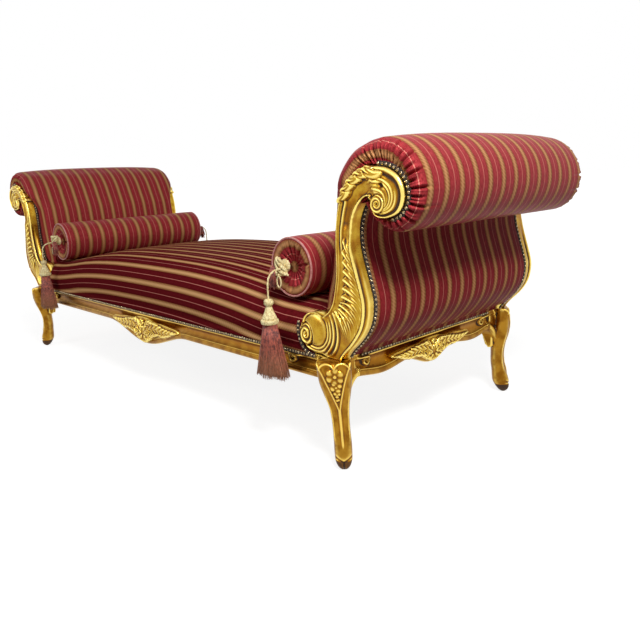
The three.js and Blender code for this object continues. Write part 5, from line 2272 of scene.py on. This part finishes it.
@dataclass
class Skirting:
    """The four moulded rails and their carvings."""

    finishes: Finishes
    long_drops: tuple = ((0.0, 0.051, 0.26),)
    end_drops: tuple = ((0.0, 0.03, 0.11), (0.195, 0.012, 0.11))
    long_boss: float = 0.746
    end_boss: float = 0.252

    def build(self) -> None:
        """Makes the rails and the carvings on them."""
        corner_y, long_half = -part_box("front_rail")[0].y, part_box("front_rail")[1].x
        corner_x, end_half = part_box("end_rail_right")[1].x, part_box("end_rail_right")[1].y
        low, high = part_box("front_carving")
        spray = Carving(high.x, low.z, high.z, corner_y).surface()
        rail = Rail(long_half, corner_y, self.long_drops, self.long_boss).surface()
        for side, corner in SIDES.items():
            self.dress(side, corner, rail, spray, f"{side}_rail", f"{side}_carving")
        low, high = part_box("end_carving_right")
        spray = Carving(high.y, low.z, high.z, corner_x).surface().turned()
        rail = Rail(end_half, corner_x, self.end_drops, self.end_boss).surface().turned()
        for end, corner in ENDS.items():
            self.dress(end, corner, rail, spray, f"end_rail_{end}", f"end_carving_{end}")

    def dress(self, label: str, corner: Corner, rail: Surface, spray: Surface, *nodes: str) -> None:
        """Makes one rail and its carving.

        Args:
            label: The side's name.
            corner: Where both go.
            rail: The rail's form.
            spray: The carving's form.
            *nodes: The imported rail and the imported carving.
        """
        made = rail.at(corner).build(f"moulded_rail_{label}", self.finishes.moulded)
        settle(mark_hollows(made, 4, 0.0008, 0.006), "frame", "gilt_wood", nodes[0])
        made = spray.at(corner).build(f"carved_spray_{label}", self.finishes.carved)
        settle(mark_hollows(made), "frame", "gilt_carving", nodes[1])


@dataclass
class Leg:
    """A cabriole leg: a carved knee, moulded shoulders to both rails and a curled toe."""

    finishes: Finishes
    moulding: Moulding = field(default_factory=Moulding)
    knee_half: float = 0.041
    swing: float = 0.017
    bow_share: float = 0.415
    block: float = 0.064
    block_drop: float = 0.052
    block_inset: float = 0.006
    leans: tuple = ((0.0, 0.005), (0.06, 0.004), (0.15, -0.001), (0.22, -0.008), (0.268, -0.011))
    ear_length: float = 0.08
    ear_drop: float = 0.118
    ear_thick: float = 0.045
    voxel: float = 0.0018
    toe_high: float = 0.028
    toe_brown: float = 0.8
    stations: tuple = (
        (0.0, 0.06, 0.1, 0.12), (0.012, 0.05, 0.24, 0.23), (0.03, 0.04, 0.36, 0.34),
        (0.055, 0.01, 0.46, 0.43), (0.09, -0.05, 0.54, 0.5), (0.13, -0.12, 0.6, 0.52),
        (0.187, -0.19, 0.58, 0.53), (0.27, -0.3, 0.5, 0.52), (0.355, -0.4, 0.46, 0.51),
        (0.466, -0.415, 0.44, 0.53), (0.58, -0.34, 0.5, 0.61), (0.69, -0.22, 0.585, 0.78),
        (0.8, -0.12, 0.585, 0.93), (0.9, -0.11, 0.56, 0.98), (0.955, -0.12, 0.55, 1.0),
        (0.985, -0.17, 0.49, 0.99), (1.0, -0.29, 0.35, 0.93),
    )
    border: tuple = (
        (0.268, 0.0405), (0.2565, 0.036), (0.2395, 0.0284), (0.2075, 0.0168), (0.1755, 0.0073),
        (0.151, 0.0015), (0.05, 0.001),
    )
    flowers: tuple = (
        ((0.0, 0.2345), 0.0135, 0.0098, 6),
        ((0.0, 0.2095), 0.0088, 0.0078, 4),
        ((0.0, 0.191), 0.0046, 0.006, 3),
        ((0.0, 0.177), 0.002, 0.0046, 2),
    )
    petal_high: float = 0.0062
    shin_bead: float = 0.0016
    rail_top: float = 0.268
    square: float = 0.34
    ear_shares: tuple = (
        (0.14, 1.0), (0.3, 1.04), (0.4, 0.93), (0.5, 0.78), (0.65, 0.61), (0.825, 0.51), (1.0, 0.49),
    )

    def column(self, corner: Points, top: float) -> Surface:
        """The leg's own shaft, from the toe to the rail top.

        Args:
            corner: The corner of the rails' faces.
            top: The rails' top.

        Returns:
            The shaft.
        """
        angle = turns(72)
        fuller = (np.abs(np.cos(angle)) ** 4 + np.abs(np.sin(angle)) ** 4) ** -0.25
        shape = 1 + self.square * (fuller - 1)
        rings = []
        for high, centre, deep, wide in smooth_curve(self.stations, 0.0075):
            middle = centre * self.swing / self.bow_share
            out = middle + deep * self.knee_half * np.cos(angle) * shape
            side = wide * self.knee_half * np.sin(angle) * shape + self.lean(high * top)
            x, y = corner[0] + (out + side) / math.sqrt(2), corner[1] + (side - out) / math.sqrt(2)
            rings.append(xyz(x, y, high * top))
        return Surface.lattice(np.array(rings))

    def lean(self, z: Any) -> Any:
        """How far the leg stands to the right of its diagonal at a height."""
        return np.interp(z, *np.array(self.leans).T)

    def shoulder(self, corner: Points, top: float) -> Surface:
        """The moulded shoulder along the long rail.

        Args:
            corner: The corner of the rails' faces.
            top: The rails' top.

        Returns:
            The shoulder.
        """
        lower = [(corner[0] - a * self.ear_length, top - b * self.ear_drop) for a, b in self.ear_shares]
        curve = smooth_curve(lower, 0.002)
        corners = np.array([curve[0], (curve[0, 0], top), (curve[-1, 0], top), curve[-1]])
        outline = np.vstack([curve[:0:-1], stepped(corners, 0.003)[:-1]])

        def front(p: Points) -> Points:
            """The front's y at many places."""
            gap, _ = locate(p, curve)
            high = gap + (top - p[:, 1])
            lap = 0.0008 * (1 - ease(p[:, 0] - outline[:, 0].min(), 0.01, 0.014))
            return corner[1] + lap + self.moulding.depth(gap, np.maximum(high, self.moulding.high))

        return carved_board(outline, 0.0024, front, [(1.0, 0.0)], corner[1] + self.ear_thick)

    def knee(self, side: Points, z: Points) -> Points:
        """The knee's carving: a heart-shaped border round blossoms, and reeds down the shin.

        Args:
            side: Places across the knee.
            z: Their heights.

        Returns:
            The height over the plain knee.
        """
        levels, halves = np.array(self.border[::-1]).T
        half = np.interp(z, levels, halves)
        within = ease(z, 0.05, 0.075)
        high = 0.0036 * swell(np.abs(side) - half, 0, 0.0024) * within
        inside = (1 - ease(np.abs(side), half - 0.004, half - 0.001)) * ease(z, 0.175, 0.2)
        high -= 0.0026 * inside
        p = np.stack([side, z], 1)
        for middle, ring, radius, petals in self.flowers:
            spots = np.array(middle) + ring * circle(turns(petals) + 0.4)
            for spot, size in [(middle, 0.7 * radius), *((spot, radius) for spot in spots)]:
                dome = np.sqrt(np.clip(1 - ((p - spot) ** 2).sum(1) / size**2, 0, 1))
                high = np.maximum(high, self.petal_high * dome - 0.0024)
        for x in (-0.0175, 0.0175):
            arch = np.hypot(side - x, (z - 0.2475) * 1.1)
            high = np.maximum(high, 0.0036 * swell(arch, 0.0175, 0.0024) * (z > 0.2485))
        reed = 0.0012 * swell(side, 0, 0.0016) * (1 - ease(z, 0.15, 0.185)) * within
        toe = 0.004 * swell(side, 0, 0.0022) * (1 - ease(z, 0.018, 0.026))
        cuff = 0.0024 * swell(z - 0.55 * np.abs(side), 0.0235, 0.0028)
        return high + reed - toe - cuff

    def carved(self, piece: Piece, corner: Points) -> None:
        """Sinks and raises the joined leg's surface by its carving.

        Args:
            piece: The joined leg.
            corner: The corner of the rails' faces.
        """
        co, normal = places_and_normals(piece)
        z = co[:, 2]
        rel = co[:, :2] - corner
        side = (rel[:, 0] + rel[:, 1]) / math.sqrt(2) - self.lean(z)
        facing = (normal[:, 0] - normal[:, 1]) / math.sqrt(2)
        share, _, _, wide = np.array(smooth_curve(self.stations, 0.0075)).T
        half = self.knee_half * np.interp(z, share * self.rail_top, wide)
        bead = swell(np.abs(side) - 0.86 * half, 0, 0.0022) * ease(facing, -0.1, 0.3)
        high = self.knee(side, z) * ease(facing, 0.12, 0.45)
        high += self.shin_bead * bead * between(z, 0.06, 0.09, 0.17, 0.2)
        co += high[:, None] * unit(normal + (0.5, -0.5, 0.0))
        piece.data.vertices.foreach_set("co", co.ravel())
        piece.data.update()

    def stain_toe(self, piece: Piece) -> None:
        """Marks the toe, below its cuff, as worn to the brown ground."""
        for vertex, mark in zip(piece.data.vertices, piece.data.attributes["hollow"].data):
            worn = 1 - float(ease(vertex.co.z, self.toe_high - 0.003, self.toe_high))
            mark.value += self.toe_brown * worn * (1 - mark.value)

    def rough(self, corner: Points, top: float) -> Piece:
        """The shaft, the shoulders and a block behind them, joined into one skin.

        Args:
            corner: The corner of the rails' faces.
            top: The rails' top.

        Returns:
            The skin.
        """
        ear = self.shoulder(corner, top)
        x, y, z = ear.points.T
        mirrored = xyz(corner[0] + corner[1] - y, corner[1] + corner[0] - x, z)
        other = Surface(mirrored, [face[::-1] for face in ear.faces]).facing_out()
        low = (corner[0] - self.block, corner[1] + self.block_inset, top - self.block_drop)
        high = (corner[0] - self.block_inset, corner[1] + self.block, top)
        parts = [self.column(corner, top), ear, other, box_surface(low, high)]
        made = Surface.joined(parts).build("leg_rough", self.finishes.carved)
        remesh = made.modifiers.new("join", "REMESH")
        remesh.mode = "VOXEL"
        remesh.voxel_size = self.voxel
        smooth = made.modifiers.new("smooth", "SMOOTH")
        smooth.factor = 0.5
        smooth.iterations = 3
        whole = plain_copy(made, "leg_whole")
        bpy.data.objects.remove(made)
        return whole

    def build(self) -> None:
        """Makes the four legs."""
        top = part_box("front_rail")[1].z
        corner = np.array([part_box("end_rail_right")[1].x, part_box("front_rail")[0].y])
        whole = self.rough(corner, top)
        self.carved(whole, corner)
        points, _ = places_and_normals(whole)
        form = Surface(points, [tuple(polygon.vertices) for polygon in whole.data.polygons])
        form.points[:, 2] = np.clip(form.points[:, 2], 0.0, top - 0.0002)
        bpy.data.objects.remove(whole)
        for place in Corner:
            made = form.at(place).build(f"carved_leg_{place.label}", self.finishes.moulded)
            mark_hollows(made, 6, 0.0007)
            self.stain_toe(made)
            settle(made, "frame", "gilt_wood", f"leg_{place.label}")


@dataclass
class Knot:
    """The braided knot at each end of a bolster, with a loop and a short fringe under it."""

    finishes: Finishes
    centre: tuple[float, float, float] = (0.7125, -0.345, 0.47)
    half: tuple[float, float, float] = (0.0125, 0.0075, 0.0205)
    rope_radius: float = 0.0035
    slant: float = 0.3
    lay: float = 0.0066
    button_half: tuple[float, float] = (0.017, 0.0075)
    button_y: float = -0.327
    tufts: int = 90

    def braid(self) -> Surface:
        """The knot itself: one thick twisted rope that winds over and under itself."""
        turn = np.linspace(0, TAU, 900)
        shape = np.stack([np.sin(5 * turn + 0.3), -np.sin(9 * turn), np.sin(4 * turn + 1.1)], 1)
        path = np.array(self.centre) + shape * self.half
        path[:, 0] -= self.slant * (path[:, 2] - self.centre[2])
        return rope(path, self.rope_radius, self.lay, sides=18)

    def button(self) -> Surface:
        """The wound button behind the knot."""
        turn = np.linspace(0.02, 0.98, 14) * math.pi
        profile = circle(turn)[:, ::-1] * self.button_half
        made = revolve(profile, 40, lambda angle, i: 1 + 0.05 * np.cos(14 * angle))
        x, y, z = made.points.T
        made.points = xyz(x + self.centre[0], z + self.button_y, y + self.centre[2])
        return made.facing_out()

    def loop(self) -> Surface:
        """The small loop that hangs under the knot."""
        turn = np.linspace(0, TAU, 90)
        x, y, z = self.centre
        path = xyz(x + 0.004 + 0.0075 * np.sin(turn), y - 0.009, z - 0.037 + 0.014 * np.cos(turn))
        return rope(path, 0.002, 0.006, sides=9)

    def fringe(self, name: str, corner: Corner) -> Piece:
        """The short cut fringe under the knot.

        Args:
            name: Its name.
            corner: Where it goes.

        Returns:
            The fringe.
        """
        draw = np.random.default_rng(41)
        root_low, root_high = (-0.026, -0.012, -0.012), (-0.008, 0.0, 0.002)
        tip_low, tip_high = (-0.014, -0.006, -0.048), (0.006, 0.002, -0.034)
        starts = np.array(self.centre) + draw.uniform(root_low, root_high, (self.tufts, 3))
        tips = starts + draw.uniform(tip_low, tip_high, (self.tufts, 3))
        profile, thick = ((0.5, 0.0), (0.5, 0.6), (0.2, 1.0)), 0.0028
        return strands(name, corner, starts, tips, profile, thick, self.finishes.fringe, 9)

    def build(self) -> None:
        """Makes the four knots."""
        forms = {"knot": self.braid(), "knot_button": self.button(), "knot_loop": self.loop()}
        for corner in Corner:
            body, node = f"bolster_{corner.end}", f"rosette_{corner.label}"
            for name, form in forms.items():
                piece = form.at(corner).build(f"{name}_{corner.label}", self.finishes.braid)
                settle(piece, body, "cream_braid", node)
            settle(self.fringe(f"knot_fringe_{corner.label}", corner), body, "tassel_fringe", node)


def dress_hidden(finishes: Finishes) -> None:
    """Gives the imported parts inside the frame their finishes.

    Args:
        finishes: The materials.
    """
    looks = {"seat_webbing": finishes.jute, "dust_cover": finishes.cambric}
    looks |= {name: finishes.beech for name in ("top_rail", "arm_rail", "seat_brace", "corner_block")}
    for node in bpy.data.objects:
        look = next((look for name, look in looks.items() if node.name.startswith(name)), None)
        if look:
            for slot in node.material_slots:
                slot.material = look


def main() -> None:
    """Builds the recamier round its frame."""
    logging.basicConfig(level=logging.INFO, format="%(message)s")
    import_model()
    Studio().build()
    finishes = Finishes()
    Hanging(finishes).build()
    upright = Upright()
    EndCover(upright).build(finishes.damask)
    OuterPanel(upright).build(finishes)
    Seat(upright).build(finishes.seat)
    Bolster().build(finishes)
    ScrollUpright(upright).build(finishes.carved)
    Nailing(finishes).build(upright)
    Skirting(finishes).build()
    Leg(finishes).build()
    Knot(finishes).build()
    dress_hidden(finishes)


if __name__ == "__main__":
    main()
